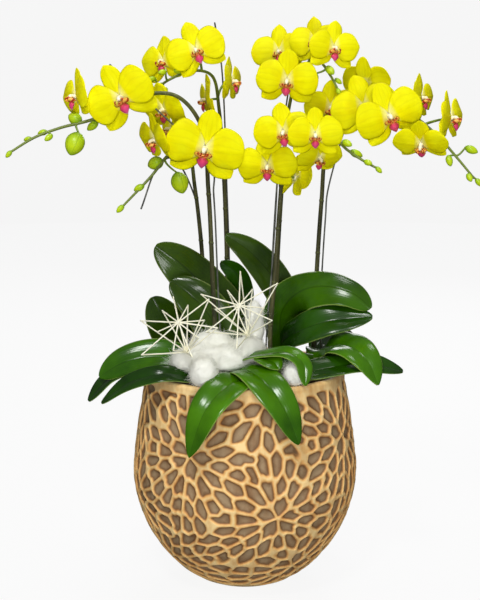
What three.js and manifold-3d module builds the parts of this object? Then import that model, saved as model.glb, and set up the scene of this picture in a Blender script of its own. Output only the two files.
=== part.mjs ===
// A potted moth orchid: six plants with yellow blooms on arching stems, standing in a
// round-bellied pot whose outside is carved all over with a net of petal-shaped hollows.
// Millimetres, +Z up. The origin is at the middle of the pot's base, and -Y is the front.

import * as THREE from "three";
import { mergeVertices } from "three/addons/utils/BufferGeometryUtils.js";
import Module from "manifold-3d";

const wasm = await Module();
wasm.setup();

// ---------------------------------------------------------------- driving dimensions

const SEAT_GAP = 0.3; // clearance between pieces that rest on each other
const DEGREE = Math.PI / 180;

// Pot: radius and height of the points that its outline needs, from base to rim.
const POT_OUTLINE = [
  [52, 0], [64, 6], [83, 20], [105, 45], [124, 80], [134.5, 125], [131, 175], [121, 237], [118, 253],
];
const POT_HEIGHT = 257;
const RIM_RADIUS = 117;
const POT_WALL = 9;
const POT_FLOOR = 14;
const POT_SIDES = 20;
const CAVITY_LEVELS = [45, 80, 125, 175]; // where the inside bends
const CAVITY_FLOOR_RADIUS = 58;
const RIM_BEVEL = [1.5, 4]; // how far out and down the bevel of the rim reaches
const MEAN_POT_RADIUS = 125;

// Carved net: the centres of its radiating flowers (degrees from the front, height) and their rings.
const NET_LOW = 5;
const NET_HIGH = 248;
const NET_FLOWERS = [
  [-29, 179], [62, 190], [152, 182], [-118, 184],
  [16, 111], [107, 114], [198, 110], [-73, 112],
  [-63, 34], [33, 38], [122, 36], [-150, 36],
  [10, 240], [106, 242], [196, 240], [-76, 242],
];
const NET_DEPTH = 3;
const NET_RINGS = 4;
const NET_RING_START = 17;
const NET_RING_STEP = 22;
const NET_FIRST_COUNT = 9;
const NET_PITCH = 16; // from each hollow to the next on its ring
const NET_SPACING = 12.5; // the least distance between the middles of any two hollows
const NET_WOBBLE = 1.2; // hollows stray this far from their rings
const NET_SEED = 7;

// Growing medium: its top is a low dome below the rim.
const MEDIUM_EDGE_HEIGHT = 230;
const MEDIUM_CROWN_HEIGHT = 237;
const MEDIUM_CROWN_RADIUS = 60;

// Plants: each crown stands in a hole in the medium, and its stem rises and arches over.
const CROWN_RADIUS = 7.5;
const CROWN_SIDES = 8;
const CROWN_FOOT = 206;
const CROWN_SHOULDER = 6; // how far below its top a crown starts to narrow
const STEM_DEPTH = 12; // how far below its crown's top a stem starts
const STEM_RADIUS = 2.8;
const STEM_TIP_RADIUS = 1.3;
const STEM_SIDES = 5;
const STALK_RADIUS = 1.3;
const STALK_SIDES = 3;
const STAKE_RADIUS = 1.3; // to the corners of its section
const STAKE_SIDES = 3;
const STAKE_FOOT = 160;

const LEAF_THICKNESS = 2.6;
const PETAL_THICKNESS = 1.5;
const STICK_CORNER_RADIUS = 1.1; // from the middle of a stick's three-sided section to its corners

// Each plant: where its crown stands and how high it reaches, the stem's route from there, the
// buds on it (place and half length), and its wire stake: the side of the stem it stands on, how
// much of the stem it follows, and its further points.
const PLANTS = {
  plant_1: {
    crown: [-50, 60],
    top: 268,
    stem: [
      [-50, 58, 300], [-52, 54, 381], [-60, 32, 470], [-66, 6, 508], [-83, -16, 514], [-109, -35, 485],
      [-140, -45, 453],
    ],
    buds: [[-103, -22, 501, 10], [-121, -38, 474, 7], [-142, -46, 451, 6], [-75, -25, 479, 13]],
    stake: { side: [0, 1], share: 0.56, end: [[-84, 10, 505], [-101, -8, 497], [-120, -24, 449]] },
  },
  plant_2: {
    crown: [-30, -46],
    top: 268,
    stem: [
      [-34, -42, 300], [-37, -37, 355], [-42, -36, 470], [-50, -40, 545], [-78, -47, 578],
      [-120, -55, 577], [-164, -65, 554], [-205, -72, 543], [-232, -78, 533], [-260, -84, 516],
    ],
    buds: [[-189, -64, 553, 9], [-170, -60, 545, 8], [-188, -78, 526, 14], [-224, -72, 538, 6],
      [-216, -82, 533, 6], [-240, -76, 531, 5], [-260, -84, 515, 5]],
    stake: { side: [0.9, 0.5], share: 0.5, end: [[-130, -40, 590], [-151, -44, 612]] },
  },
  plant_3: {
    crown: [-20, 86],
    top: 274,
    stem: [
      [-21, 86, 300], [-23, 84, 400], [-26, 74, 481], [-31, 56, 560], [-39, 36, 600], [-60, 20, 606],
      [-87, 8, 596], [-112, -8, 578],
    ],
    buds: [[-77, 4, 606, 7], [-95, -6, 604, 6], [-108, -2, 596, 6], [-99, 10, 588, 6], [-110, -14, 588, 5],
      [-92, -4, 583, 5]],
    stake: { side: [0.5, 1], share: 0.5, end: [[-28, 66, 610], [-36, 60, 662]] },
  },
  plant_4: {
    crown: [30, -38],
    top: 270,
    stem: [
      [29, -35, 300], [35, -28, 378], [41, -22, 470], [45, -24, 520], [58, -34, 548], [90, -50, 542],
      [113, -60, 519], [136, -68, 504], [148, -72, 498],
    ],
    buds: [[113, -66, 526, 7], [124, -58, 514, 8], [136, -72, 505, 6], [148, -72, 497, 5]],
    stake: { side: [-0.6, 0.8], share: 0.45, end: [[40, -12, 545]] },
  },
  plant_5: {
    crown: [84, 42],
    top: 270,
    stem: [
      [85, 42, 300], [87, 42, 360], [92, 42, 450], [98, 36, 520], [120, 20, 566], [158, -4, 574],
      [193, -26, 554], [219, -42, 531], [238, -52, 509], [256, -60, 487],
    ],
    buds: [[254, -50, 518, 8], [229, -54, 506, 7], [250, -66, 488, 6], [262, -60, 482, 6]],
    stake: { side: [1, -0.3], share: 0.45, end: [[130, 18, 586]] },
  },
  plant_6: {
    crown: [40, 46],
    top: 274,
    stem: [
      [38, 44, 300], [39, 42, 368], [45, 36, 480], [52, 26, 565], [64, 8, 606], [84, -8, 616],
      [97, -18, 600], [106, -24, 583],
    ],
    buds: [[60, -8, 592, 8], [80, -20, 598, 6], [96, -24, 606, 8], [106, -18, 594, 5], [106, -26, 582, 5]],
    stake: { side: [-1, 0.3], share: 0.6, end: [[52, 24, 592]] },
  },
};

// Leaves: the plant, the height of the base on its crown (or the place of the base), the width,
// the way the upper face looks beyond the base, and the midrib's further points. A leaf that
// stays level for longer gives the share of its length by which it has turned its face, and one
// with a pointed tip gives how sharply it narrows.
const FACING_FRONT = [0, -0.85, 0.5];
const FACING_UP = [0, -0.25, 1];
const LEAVES = {
  leaf_back_left_high: {
    plant: "plant_3", base: 264, width: 60, face: FACING_FRONT,
    path: [[-23, 50, 314], [-47, 38, 345], [-77, 34, 376], [-108, 38, 398]],
  },
  leaf_back_left_low: {
    plant: "plant_2", base: 262, width: 54, face: FACING_FRONT,
    path: [[-28, -12, 284], [-42, -2, 318], [-65, 2, 343], [-88, 8, 360]],
  },
  leaf_left_blunt: {
    plant: "plant_1", base: 262, width: 50, face: FACING_FRONT, level: 0.5,
    path: [[-73, 30, 272], [-88, 16, 296], [-100, 12, 319], [-111, 16, 339]],
  },
  leaf_left_wide: {
    plant: "plant_2", base: 258, width: 46, face: [0, -0.75, 0.65], tip: 0.6,
    path: [[-69, -46, 272], [-105, -46, 278], [-138, -48, 273], [-169, -50, 256]],
  },
  leaf_left_low: {
    plant: "plant_2", base: 250, width: 36, face: FACING_UP,
    path: [[-66, -44, 256], [-111, -42, 264], [-155, -46, 254], [-182, -50, 227]],
  },
  leaf_left_edge: {
    plant: "plant_2", base: 248, width: 26, face: [0, -0.6, 0.8],
    path: [[-58, -72, 259], [-91, -85, 267], [-131, -80, 256], [-165, -66, 229]],
  },
  leaf_back_tall: {
    plant: "plant_6", base: 268, width: 42, face: FACING_FRONT,
    path: [[50, 62, 320], [34, 66, 354], [6, 68, 386], [-24, 70, 407]],
  },
  leaf_back_curled: {
    plant: "plant_3", base: 268, width: 32, face: FACING_FRONT,
    path: [[-7, 76, 308], [-5, 70, 338], [-12, 67, 361], [-30, 66, 374]],
  },
  leaf_right_top: {
    plant: "plant_6", base: 268, width: 52, face: [0.1, -0.75, 0.65], level: 0.5,
    path: [[45, 34, 318], [67, 20, 345], [97, 6, 353], [126, -5, 347], [148, -13, 330]],
  },
  leaf_right_second: {
    plant: "plant_6", base: 256, width: 43, face: [0, -0.75, 0.65],
    path: [[48, 17, 284], [70, -2, 301], [97, -9, 311], [125, -11, 314], [150, -15, 318]],
  },
  leaf_right_drooping: {
    plant: "plant_5", base: 260, width: 46, face: [0.25, -0.8, 0.55], tip: 0.65,
    path: [[91, 1, 277], [112, -33, 289], [128, -57, 288], [141, -74, 275], [150, -86, 255]],
  },
  leaf_right_hidden: {
    plant: "plant_5", base: 264, width: 36, face: FACING_FRONT,
    path: [[92, 60, 274], [106, 74, 278], [124, 86, 270], [140, 96, 250]],
  },
  leaf_right_broad: {
    plant: "plant_4", base: 264, width: 34, face: [0, -0.55, 0.85],
    path: [[55, -32, 272], [88, -24, 262], [121, -22, 268], [148, -20, 263]],
  },
  leaf_right_far: {
    plant: "plant_4", base: 252, width: 36, face: [0, -0.5, 0.85],
    path: [[61, -60, 261], [97, -59, 268], [140, -53, 272], [183, -48, 262]],
  },
  leaf_front_left: {
    plant: "plant_4", base: 246, width: 44, face: [-0.3, -0.75, 0.6], level: 0.6,
    tip: 0.75,
    path: [[8, -76, 256], [-14, -109, 262], [-42, -136, 240], [-62, -146, 188]],
  },
  leaf_front_right: {
    plant: "plant_2", base: 252, width: 42, face: [0.2, -0.75, 0.6], level: 0.6,
    tip: 0.65,
    path: [[-6, -76, 269], [16, -109, 268], [40, -134, 242], [58, -144, 202]],
  },
  leaf_front_folded: {
    plant: "plant_2", base: 261, width: 26, face: [0.1, -0.4, 1],
    path: [[-6, -56, 276], [21, -78, 288], [48, -94, 293], [64, -104, 283], [66, -118, 262]],
  },
  leaf_front_short: {
    plant: "plant_2", base: [14, -73, 285], width: 26, face: [0.1, -0.6, 0.8],
    path: [[23, -88, 285], [31, -97, 283], [38, -103, 277]],
  },
};
// Two leaves that share a base are one piece.
const LEAF_PIECES = {
  leaf_left_pair: ["leaf_left_low", "leaf_left_edge"],
  leaf_front_pair: ["leaf_front_folded", "leaf_front_short"],
};

// Blooms: the plant, the place of the column, the way the face looks (degrees to the right,
// degrees upward, degrees turned anticlockwise as seen from its front) and the span. A bloom whose
// stalk starts elsewhere than at the nearest point gives the share of the stem below it.
const BLOOMS = {
  bloom_left_1: { plant: "plant_2", at: [-187, -66, 577], look: [-60, 0, 8], span: 64 },
  bloom_left_2: { plant: "plant_2", at: [-135, -88, 576], look: [-12, -6, 28], span: 80 },
  bloom_left_3: { plant: "plant_3", at: [-96, 32, 616], look: [-35, 5, 10], span: 62 },
  bloom_left_4: { plant: "plant_3", at: [-93, -20, 562], look: [-40, -25, 0], span: 64 },
  bloom_left_5: { plant: "plant_3", at: [-55, -22, 628], look: [-5, 0, 22], span: 68 },
  bloom_left_6: { plant: "plant_3", at: [-45, 35, 572], look: [-78, -8, 0], span: 60 },
  bloom_left_7: { plant: "plant_3", at: [-16, 62, 593], look: [72, 0, 0], span: 60 },
  bloom_left_8: { plant: "plant_1", at: [-101, -54, 529], look: [-58, -18, 0], span: 62 },
  bloom_left_9: { plant: "plant_1", at: [-86, 14, 538], look: [-70, 0, 0], span: 62 },
  bloom_left_10: { plant: "plant_2", at: [-45, -74, 520], look: [-5, -10, -10], span: 88 },
  bloom_right_1: { plant: "plant_6", at: [99, -34, 630], look: [20, 0, -4], span: 62 },
  bloom_right_2: { plant: "plant_6", at: [80, 10, 638], look: [-20, 5, 5], span: 60, stalk: 0.78 },
  bloom_right_3: { plant: "plant_6", at: [47, -34, 594], look: [-6, -12, -6], span: 70 },
  bloom_right_4: { plant: "plant_6", at: [40, 35, 627], look: [-10, 5, 4], span: 66 },
  bloom_right_5: { plant: "plant_4", at: [42, -70, 538], look: [-8, -8, 8], span: 66 },
  bloom_right_6: { plant: "plant_4", at: [76, -92, 536], look: [0, -8, 0], span: 60 },
  bloom_right_7: { plant: "plant_4", at: [25, -42, 499], look: [-5, -14, 0], span: 68 },
  bloom_right_8: { plant: "plant_5", at: [98, -4, 563], look: [12, -5, 0], span: 64 },
  bloom_right_9: { plant: "plant_5", at: [134, -40, 564], look: [-6, -4, 16], span: 76 },
  bloom_right_10: { plant: "plant_5", at: [158, -80, 556], look: [4, -8, 24], span: 76, stalk: 0.8 },
  bloom_right_11: { plant: "plant_5", at: [142, 30, 592], look: [150, 10, 0], span: 62 },
  bloom_right_12: { plant: "plant_5", at: [205, 10, 574], look: [58, 0, 0], span: 58 },
  bloom_right_13: { plant: "plant_5", at: [190, -104, 527], look: [-20, -42, 0], span: 62 },
  bloom_right_14: { plant: "plant_5", at: [234, -25, 552], look: [60, 4, 0], span: 64 },
  bloom_right_15: { plant: "plant_4", at: [60, 0, 482], look: [120, -18, 0], span: 58 },
  bloom_right_16: { plant: "plant_4", at: [84, -36, 508], look: [24, -30, 0], span: 56 },
};

// Stick stars: the front hub, the rear hub, and each ray's angle and length from the star's middle.
const STARS = {
  stick_star_left: {
    front: [-73.5, -117.9, 333.4],
    rear: [-66.5, -77.9, 291.4],
    rays: [
      [165, 50], [133, 38], [109, 50], [86, 36], [61, 52], [34, 29], [9, 41], [-20, 22], [-62, 38],
      [-100, 26], [-140, 51], [-176, 27],
    ],
  },
  stick_star_right: {
    front: [-7, -96.4, 348.5],
    rear: [3, -50.4, 305.5],
    rays: [
      [154, 57], [124, 38], [100, 59], [78, 35], [51, 56], [22, 26], [-10, 36], [-49, 20], [-89, 44],
      [-118, 24], [-146, 45], [170, 32],
    ],
  },
};
const STAR_DEPTH_SHARE = 0.3; // the rays' points lie this far from the front hub to the rear one
const HUB_RADIUS = 3.6;

// ---------------------------------------------------------------- solids

const toVector = (place) => new THREE.Vector3(...place);

// A closed, outward-facing solid from a geometry whose shared points may still be doubled.
function solidFrom(geometry) {
  const bare = geometry.clone();
  bare.deleteAttribute("normal");
  bare.deleteAttribute("uv");
  const merged = mergeVertices(bare, 1e-4);
  const places = merged.attributes.position.array;
  const corners = Array.from(merged.index.array);
  const triangles = [];
  let volume = 0;
  for (let i = 0; i < corners.length; i += 3) {
    const [a, b, c] = corners.slice(i, i + 3);
    if (a === b || b === c || c === a) continue;
    triangles.push([a, b, c]);
    const [p, q, r] = [a, b, c].map((n) => new THREE.Vector3().fromArray(places, 3 * n));
    volume += p.dot(q.cross(r));
  }
  if (volume < 0) triangles.forEach((triangle) => triangle.reverse());
  const mesh = new wasm.Mesh({
    numProp: 3,
    vertProperties: new Float32Array(places),
    triVerts: new Uint32Array(triangles.flat()),
  });
  return new wasm.Manifold(mesh);
}

function geometryFrom(solid) {
  const { vertProperties, triVerts } = solid.getMesh();
  const geometry = new THREE.BufferGeometry();
  geometry.setAttribute("position", new THREE.BufferAttribute(new Float32Array(vertProperties), 3));
  geometry.setIndex(new THREE.BufferAttribute(new Uint32Array(triVerts), 1));
  return geometry;
}

const fuse = (solids) => wasm.Manifold.union(solids);
const carve = (solid, cutters) => solid.subtract(fuse(cutters));

function solidFromTriangles(vertices, triangles) {
  const geometry = new THREE.BufferGeometry();
  const places = vertices.flatMap((vertex) => vertex.toArray());
  geometry.setAttribute("position", new THREE.Float32BufferAttribute(places, 3));
  geometry.setIndex(triangles.flat());
  return solidFrom(geometry);
}

// A turned solid about the Z axis from [radius, height] points that start and end on the axis.
function turned(outline, sides) {
  const points = outline.map(([radius, height]) => new THREE.Vector2(radius, height));
  return solidFrom(new THREE.LatheGeometry(points, sides).rotateX(Math.PI / 2));
}

// A closed tube through points, with radiusAt(share) from 0 at its start to 1 at its end. Its
// sections turn as little as they can, and are mitred where the tube bends.
function tube(points, sides, radiusAt) {
  const last = points.length - 1;
  const along = (i) => points[i + 1].clone().sub(points[i]).normalize();
  const vertices = [];
  const triangles = [];
  let normal = new THREE.Vector3(0.3, 0.9, 0.1);
  points.forEach((point, i) => {
    const [before, after] = [along(Math.max(i - 1, 0)), along(Math.min(i, last - 1))];
    const tangent = before.clone().add(after).normalize();
    normal = normal.addScaledVector(tangent, -normal.dot(tangent)).normalize();
    const binormal = tangent.clone().cross(normal);
    for (let j = 0; j < sides; j += 1) {
      const turn = (j / sides) * 2 * Math.PI;
      const offset = normal.clone().multiplyScalar(Math.cos(turn)).addScaledVector(binormal, Math.sin(turn));
      vertices.push(point.clone().addScaledVector(offset, radiusAt(i / last)));
    }
  });
  for (let i = 0; i < last; i += 1) {
    for (let j = 0; j < sides; j += 1) {
      const [a, b] = [i * sides + j, i * sides + ((j + 1) % sides)];
      triangles.push([a, b, b + sides], [a, b + sides, a + sides]);
    }
  }
  const end = last * sides;
  for (let j = 1; j < sides - 1; j += 1) {
    triangles.push([0, j + 1, j], [end, end + j, end + j + 1]);
  }
  return solidFromTriangles(vertices, triangles);
}

// A closed blade over a grid of points: middleAt(u, v) and normalAt(u, v) give its middle
// surface, u from -1 to 1 across and v from 0 to 1 along. Both faces are split alike, and they
// meet in a sharp rim.
function blade(middleAt, normalAt, across, along, thickness) {
  const vertices = [];
  const upper = [];
  const lower = [];
  for (let i = 0; i <= along; i += 1) {
    for (let j = 0; j <= across; j += 1) {
      const [u, v] = [(2 * j) / across - 1, i / along];
      const onRim = i === 0 || i === along || j === 0 || j === across;
      const middle = middleAt(u, v);
      const offset = normalAt(u, v).multiplyScalar(onRim ? 0 : thickness / 2);
      upper.push(vertices.push(middle.clone().add(offset)) - 1);
      lower.push(onRim ? upper.at(-1) : vertices.push(middle.clone().sub(offset)) - 1);
    }
  }
  const triangles = [];
  const width = across + 1;
  for (let i = 0; i < along; i += 1) {
    for (let j = 0; j < across; j += 1) {
      const [a, b, c, d] = [i * width + j, i * width + j + 1, (i + 1) * width + j + 1, (i + 1) * width + j];
      const halves = j < across / 2 ? [[a, b, c], [a, c, d]] : [[a, b, d], [b, c, d]];
      halves.forEach(([p, q, r]) => {
        triangles.push([upper[p], upper[q], upper[r]], [lower[r], lower[q], lower[p]]);
      });
    }
  }
  return solidFromTriangles(vertices, triangles);
}

// ---------------------------------------------------------------- pot

const potOutline = new THREE.SplineCurve(POT_OUTLINE.map((point) => new THREE.Vector2(...point)));
const OUTLINE_LENGTH = potOutline.getLength();

// The outline's point at a length along it, and the length at which it reaches a height.
const outlineAt = (length) => potOutline.getPointAt(THREE.MathUtils.clamp(length / OUTLINE_LENGTH, 0, 1));
function lengthAtHeight(height) {
  let [low, high] = [0, OUTLINE_LENGTH];
  while (high - low > 0.01) {
    const middle = (low + high) / 2;
    if (outlineAt(middle).y < height) low = middle;
    else high = middle;
  }
  return low;
}

const aroundPot = (angle, radius, height) => new THREE.Vector3(
  radius * Math.sin(angle),
  -radius * Math.cos(angle),
  height,
);

// A point of the pot's outside, sunk below it by a depth.
function onPot(angle, length, sunk) {
  const point = outlineAt(length);
  const slope = potOutline.getTangentAt(THREE.MathUtils.clamp(length / OUTLINE_LENGTH, 0, 1));
  return aroundPot(angle, point.x - slope.y * sunk, point.y + slope.x * sunk);
}

// Repeatable random numbers from 0 to 1.
function randomFrom(seed) {
  let state = seed;
  return () => {
    state = (Math.imul(state, 1664525) + 1013904223) >>> 0;
    return state / 2 ** 32;
  };
}

const wrapAngle = (angle) => angle - 2 * Math.PI * Math.round(angle / (2 * Math.PI));
function distanceOnPot(first, second) {
  const radius = outlineAt((first.length + second.length) / 2).x;
  return Math.hypot(wrapAngle(first.angle - second.angle) * radius, first.length - second.length);
}

// The middles of the carved hollows, in staggered rings about each flower's centre, each ring
// stopping half way to the next flower.
function hollowMiddles() {
  const flowers = NET_FLOWERS.map(([degrees, height]) => (
    { angle: degrees * DEGREE, length: lengthAtHeight(height) }
  ));
  const [low, high] = [lengthAtHeight(NET_LOW) + NET_SPACING / 3, lengthAtHeight(NET_HIGH) - NET_SPACING / 3];
  const middles = [];
  const random = randomFrom(NET_SEED);
  flowers.forEach((flower) => {
    for (let ring = 0; ring < NET_RINGS; ring += 1) {
      const radius = NET_RING_START + ring * NET_RING_STEP;
      const count = Math.max(NET_FIRST_COUNT, Math.round((2 * Math.PI * radius) / NET_PITCH));
      for (let i = 0; i < count; i += 1) {
        const turn = ((i + (ring % 2) / 2) / count) * 2 * Math.PI + (random() - 0.5) * (NET_WOBBLE / radius);
        const length = flower.length + radius * Math.sin(turn) + (random() - 0.5) * NET_WOBBLE;
        if (length < low || length > high) continue;
        const middle = { angle: flower.angle + (radius * Math.cos(turn)) / outlineAt(length).x, length };
        const reach = distanceOnPot(flower, middle) - 1;
        const nearer = flowers.some((other) => distanceOnPot(other, middle) < reach);
        const crowded = middles.some((other) => distanceOnPot(other, middle) < NET_SPACING);
        if (!nearer && !crowded) middles.push(middle);
      }
    }
  });
  return middles;
}

// The triangles between points of a plane whose circles hold no other point.
function delaunay(points) {
  const far = 1e4;
  const all = [...points, [-far, -far], [far, -far], [0, far]];
  const circle = (a, b, c) => {
    const [[ax, ay], [bx, by], [cx, cy]] = [all[a], all[b], all[c]];
    const twice = 2 * (ax * (by - cy) + bx * (cy - ay) + cx * (ay - by));
    const [aa, bb, cc] = [ax * ax + ay * ay, bx * bx + by * by, cx * cx + cy * cy];
    const x = (aa * (by - cy) + bb * (cy - ay) + cc * (ay - by)) / twice;
    const y = (aa * (cx - bx) + bb * (ax - cx) + cc * (bx - ax)) / twice;
    return { corners: [a, b, c], x, y, reach: (ax - x) ** 2 + (ay - y) ** 2 };
  };
  const count = points.length;
  let triangles = [circle(count, count + 1, count + 2)];
  points.forEach(([x, y], index) => {
    const open = new Map();
    triangles = triangles.filter((triangle) => {
      if ((x - triangle.x) ** 2 + (y - triangle.y) ** 2 > triangle.reach) return true;
      const [a, b, c] = triangle.corners;
      [[a, b], [b, c], [c, a]].forEach(([from, to]) => {
        if (!open.delete(`${to} ${from}`)) open.set(`${from} ${to}`, [from, to]);
      });
      return false;
    });
    open.forEach(([from, to]) => triangles.push(circle(from, to, index)));
  });
  return triangles.map(({ corners }) => corners)
    .filter((corners) => corners.every((corner) => corner < count));
}

// The pot's net: each hollow is a shallow pit whose rim runs through the middles of the triangles
// between neighbouring hollows, so that the rims join in one raised net.
function potNet() {
  const middles = hollowMiddles();
  const [low, high] = [lengthAtHeight(NET_LOW), lengthAtHeight(NET_HIGH)];
  const lap = 2 * Math.PI * MEAN_POT_RADIUS;
  const margin = 3 * NET_RING_STEP;
  const points = [];
  middles.forEach(({ angle, length }, index) => {
    const x = wrapAngle(angle) * MEAN_POT_RADIUS;
    [-lap, 0, lap].filter((shift) => Math.abs(x + shift) < lap / 2 + margin).forEach((shift) => {
      const mirrored = [length, 2 * low - length, 2 * high - length];
      mirrored.filter((y) => y > low - margin && y < high + margin).forEach((y) => {
        const inside = y === length;
        const stagger = inside ? 0 : NET_SPACING / 4;
        points.push({ x: x + shift + stagger, y, home: shift === 0 && inside ? index : -1, inside });
      });
    });
  });
  const around = middles.map(() => []);
  const edges = { low: new Map(), high: new Map() };
  const crossing = (corners, line) => {
    const cuts = corners.flatMap((p, n) => {
      const q = corners[(n + 1) % 3];
      return (p.y - line) * (q.y - line) < 0 ? [p.x + ((q.x - p.x) * (line - p.y)) / (q.y - p.y)] : [];
    });
    return (cuts[0] + cuts[1]) / 2;
  };
  delaunay(points.map(({ x, y }) => [x, y])).forEach((triangle) => {
    const corners = triangle.map((corner) => points[corner]);
    const outside = corners.filter(({ inside }) => !inside);
    if (!corners.some(({ home }) => home >= 0)) return;
    const mean = (axis) => corners.reduce((sum, corner) => sum + corner[axis], 0) / 3;
    const centre = { x: mean("x"), y: mean("y") };
    const edge = outside.length > 0 && (outside[0].y < low ? "low" : "high");
    const line = edge === "low" ? low : high;
    const angle = wrapAngle((edge ? crossing(corners, line) : centre.x) / MEAN_POT_RADIUS);
    const knot = { angle, length: edge ? line : centre.y };
    if (edge) {
      const key = aroundPot(angle, 1, 0).toArray().map((value) => value.toFixed(5)).join(" ");
      edges[edge].set(key, angle);
    }
    corners.filter(({ home }) => home >= 0).forEach((corner) => {
      around[corner.home].push({ turn: Math.atan2(centre.y - corner.y, centre.x - corner.x), ...knot });
    });
  });
  const vertices = [];
  const triangles = [];
  const known = new Map();
  const place = (point) => {
    const key = point.toArray().map((value) => value.toFixed(3)).join(" ");
    if (!known.has(key)) known.set(key, vertices.push(point) - 1);
    return known.get(key);
  };
  middles.forEach(({ angle, length }, index) => {
    const rim = around[index].sort((first, second) => first.turn - second.turn);
    const centre = place(onPot(angle, length, NET_DEPTH));
    rim.forEach((corner, n) => {
      const next = rim[(n + 1) % rim.length];
      const [from, to] = [corner, next].map((knot) => place(onPot(knot.angle, knot.length, 0)));
      triangles.push([centre, from, to]);
    });
  });
  return { vertices, triangles, place, edges };
}

function potSolid() {
  const { vertices, triangles, place, edges } = potNet();
  // From each edge of the net, strips run over the given [radius, height] rings to the axis.
  const close = (angles, length, rings, upward) => {
    const sorted = [...angles.values()].sort((a, b) => a - b);
    const columns = sorted.map((angle) => [
      place(onPot(angle, length, 0)),
      ...rings.map(([radius, height]) => place(aroundPot(angle, radius, height))),
    ]);
    columns.forEach((column, n) => {
      const next = columns[(n + 1) % columns.length];
      for (let k = 0; k < column.length - 1; k += 1) {
        const [a, b, c, d] = [column[k], next[k], next[k + 1], column[k + 1]];
        const pair = upward ? [[a, b, c], [a, c, d]] : [[c, b, a], [d, c, a]];
        triangles.push(...pair.filter(([p, q, r]) => p !== q && q !== r && r !== p));
      }
    });
  };
  const [bevelOut, bevelDown] = RIM_BEVEL;
  const bevel = [[RIM_RADIUS + bevelOut, POT_HEIGHT - bevelDown], [RIM_RADIUS, POT_HEIGHT]];
  close(edges.high, lengthAtHeight(NET_HIGH), [...bevel, [0, POT_HEIGHT]], true);
  close(edges.low, lengthAtHeight(NET_LOW), [[POT_OUTLINE[0][0], 0], [0, 0]], false);
  const cavity = turned(cavityOutline(0, POT_HEIGHT + POT_WALL), POT_SIDES);
  return solidFromTriangles(vertices, triangles).subtract(cavity);
}

// The outline of the pot's inside, drawn in by a gap and cut off at a height.
function cavityOutline(gap, height) {
  const inner = (level) => outlineAt(lengthAtHeight(level)).x - POT_WALL - gap;
  return [
    [0, POT_FLOOR + gap],
    [CAVITY_FLOOR_RADIUS - gap, POT_FLOOR + gap],
    ...CAVITY_LEVELS.map((level) => [inner(level), level + gap]),
    [inner(Math.min(height, NET_HIGH)), height],
    [0, height],
  ];
}

// ---------------------------------------------------------------- plants

const crownSolid = (plant, grow) => turned(
  [
    [0, CROWN_FOOT - grow],
    [CROWN_RADIUS + grow, CROWN_FOOT - grow],
    [CROWN_RADIUS + grow, plant.top - CROWN_SHOULDER],
    [0, plant.top],
  ],
  CROWN_SIDES,
).translate([plant.crown[0], plant.crown[1], 0]);

const stemCurve = (plant) => new THREE.CatmullRomCurve3(
  [new THREE.Vector3(plant.crown[0], plant.crown[1], plant.top - STEM_DEPTH), ...plant.stem.map(toVector)],
  false,
  "centripetal",
);

// The stem's points: two steps from each point of its route to the next.
const stemPoints = (plant) => stemCurve(plant).getPoints(2 * plant.stem.length);

const stemRadius = (share) => THREE.MathUtils.lerp(STEM_RADIUS, STEM_TIP_RADIUS, share ** 2);
const stemSolid = (plant, grow) => tube(stemPoints(plant), STEM_SIDES, (share) => stemRadius(share) + grow);

// Where a stalk leaves the stem: before the stem's nearest point by a share of the distance.
const STALK_LEAN = 0.4;
const STALK_BEND = 0.4; // how far before its seat a stalk's bend lies, as a share of its length
const ARCH_START = 0.4;
function stalkRoot(curve, place, share) {
  if (share) return curve.getPointAt(share);
  let nearest = { share: ARCH_START, distance: Infinity };
  for (let share = ARCH_START; share <= 1; share += 0.01) {
    const distance = curve.getPointAt(share).distanceTo(place);
    if (distance < nearest.distance) nearest = { share, distance };
  }
  return curve.getPointAt(nearest.share - (STALK_LEAN * nearest.distance) / curve.getLength());
}

function stalkSolid(root, seat, arrival) {
  const middle = seat.clone().addScaledVector(arrival, -STALK_BEND * root.distanceTo(seat));
  const curve = new THREE.QuadraticBezierCurve3(root, middle, seat);
  return tube(curve.getPoints(2), STALK_SIDES, () => STALK_RADIUS);
}

// The radius and level of a bud's rings, as shares of half its length.
const BUD_RINGS = [[0.76, -0.35], [0.7, 0.5]];

// A closed bud that widens from its stalk's root in the stem.
function budSolid(curve, [x, y, z, half]) {
  const middle = new THREE.Vector3(x, y, z);
  const root = stalkRoot(curve, middle);
  const axis = middle.clone().sub(root);
  const outline = [
    [0, -axis.length()],
    [STALK_RADIUS * 1.3, -half],
    ...BUD_RINGS.map(([radius, level]) => [half * radius, half * level]),
    [0, half],
  ];
  const turn = new THREE.Quaternion().setFromUnitVectors(new THREE.Vector3(0, 0, 1), axis.normalize());
  const place = new THREE.Matrix4().compose(middle, turn, new THREE.Vector3(1, 1, 1));
  return turned(outline, STEM_SIDES).transform(place.elements);
}

function plantSolid(name) {
  const plant = PLANTS[name];
  const curve = stemCurve(plant);
  const buds = plant.buds.map((bud) => budSolid(curve, bud));
  const stalks = Object.values(BLOOMS).filter((bloom) => bloom.plant === name).map((bloom) => {
    const { facing } = bloomFrame(bloom);
    const seat = toVector(bloom.at).addScaledVector(facing, -(BLOOM_BACK * bloom.span + SEAT_GAP));
    return stalkSolid(stalkRoot(curve, seat, bloom.stalk), seat, facing);
  });
  return fuse([crownSolid(plant, 0), stemSolid(plant, 0), ...buds, ...stalks]);
}

// ---------------------------------------------------------------- wire stakes

const STAKE_OFFSET = 6.5;
const STAKE_CLEARANCE = 2.5; // from the crown to the middle of the stake's foot

// Where the stake stands: beside the crown, on the side of the stem that it follows.
function stakeFoot(plant) {
  const side = new THREE.Vector3(...plant.stake.side, 0).normalize();
  const foot = new THREE.Vector3(...plant.crown, STAKE_FOOT);
  foot.addScaledVector(side, CROWN_RADIUS + STAKE_CLEARANCE);
  return { side, foot };
}

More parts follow.
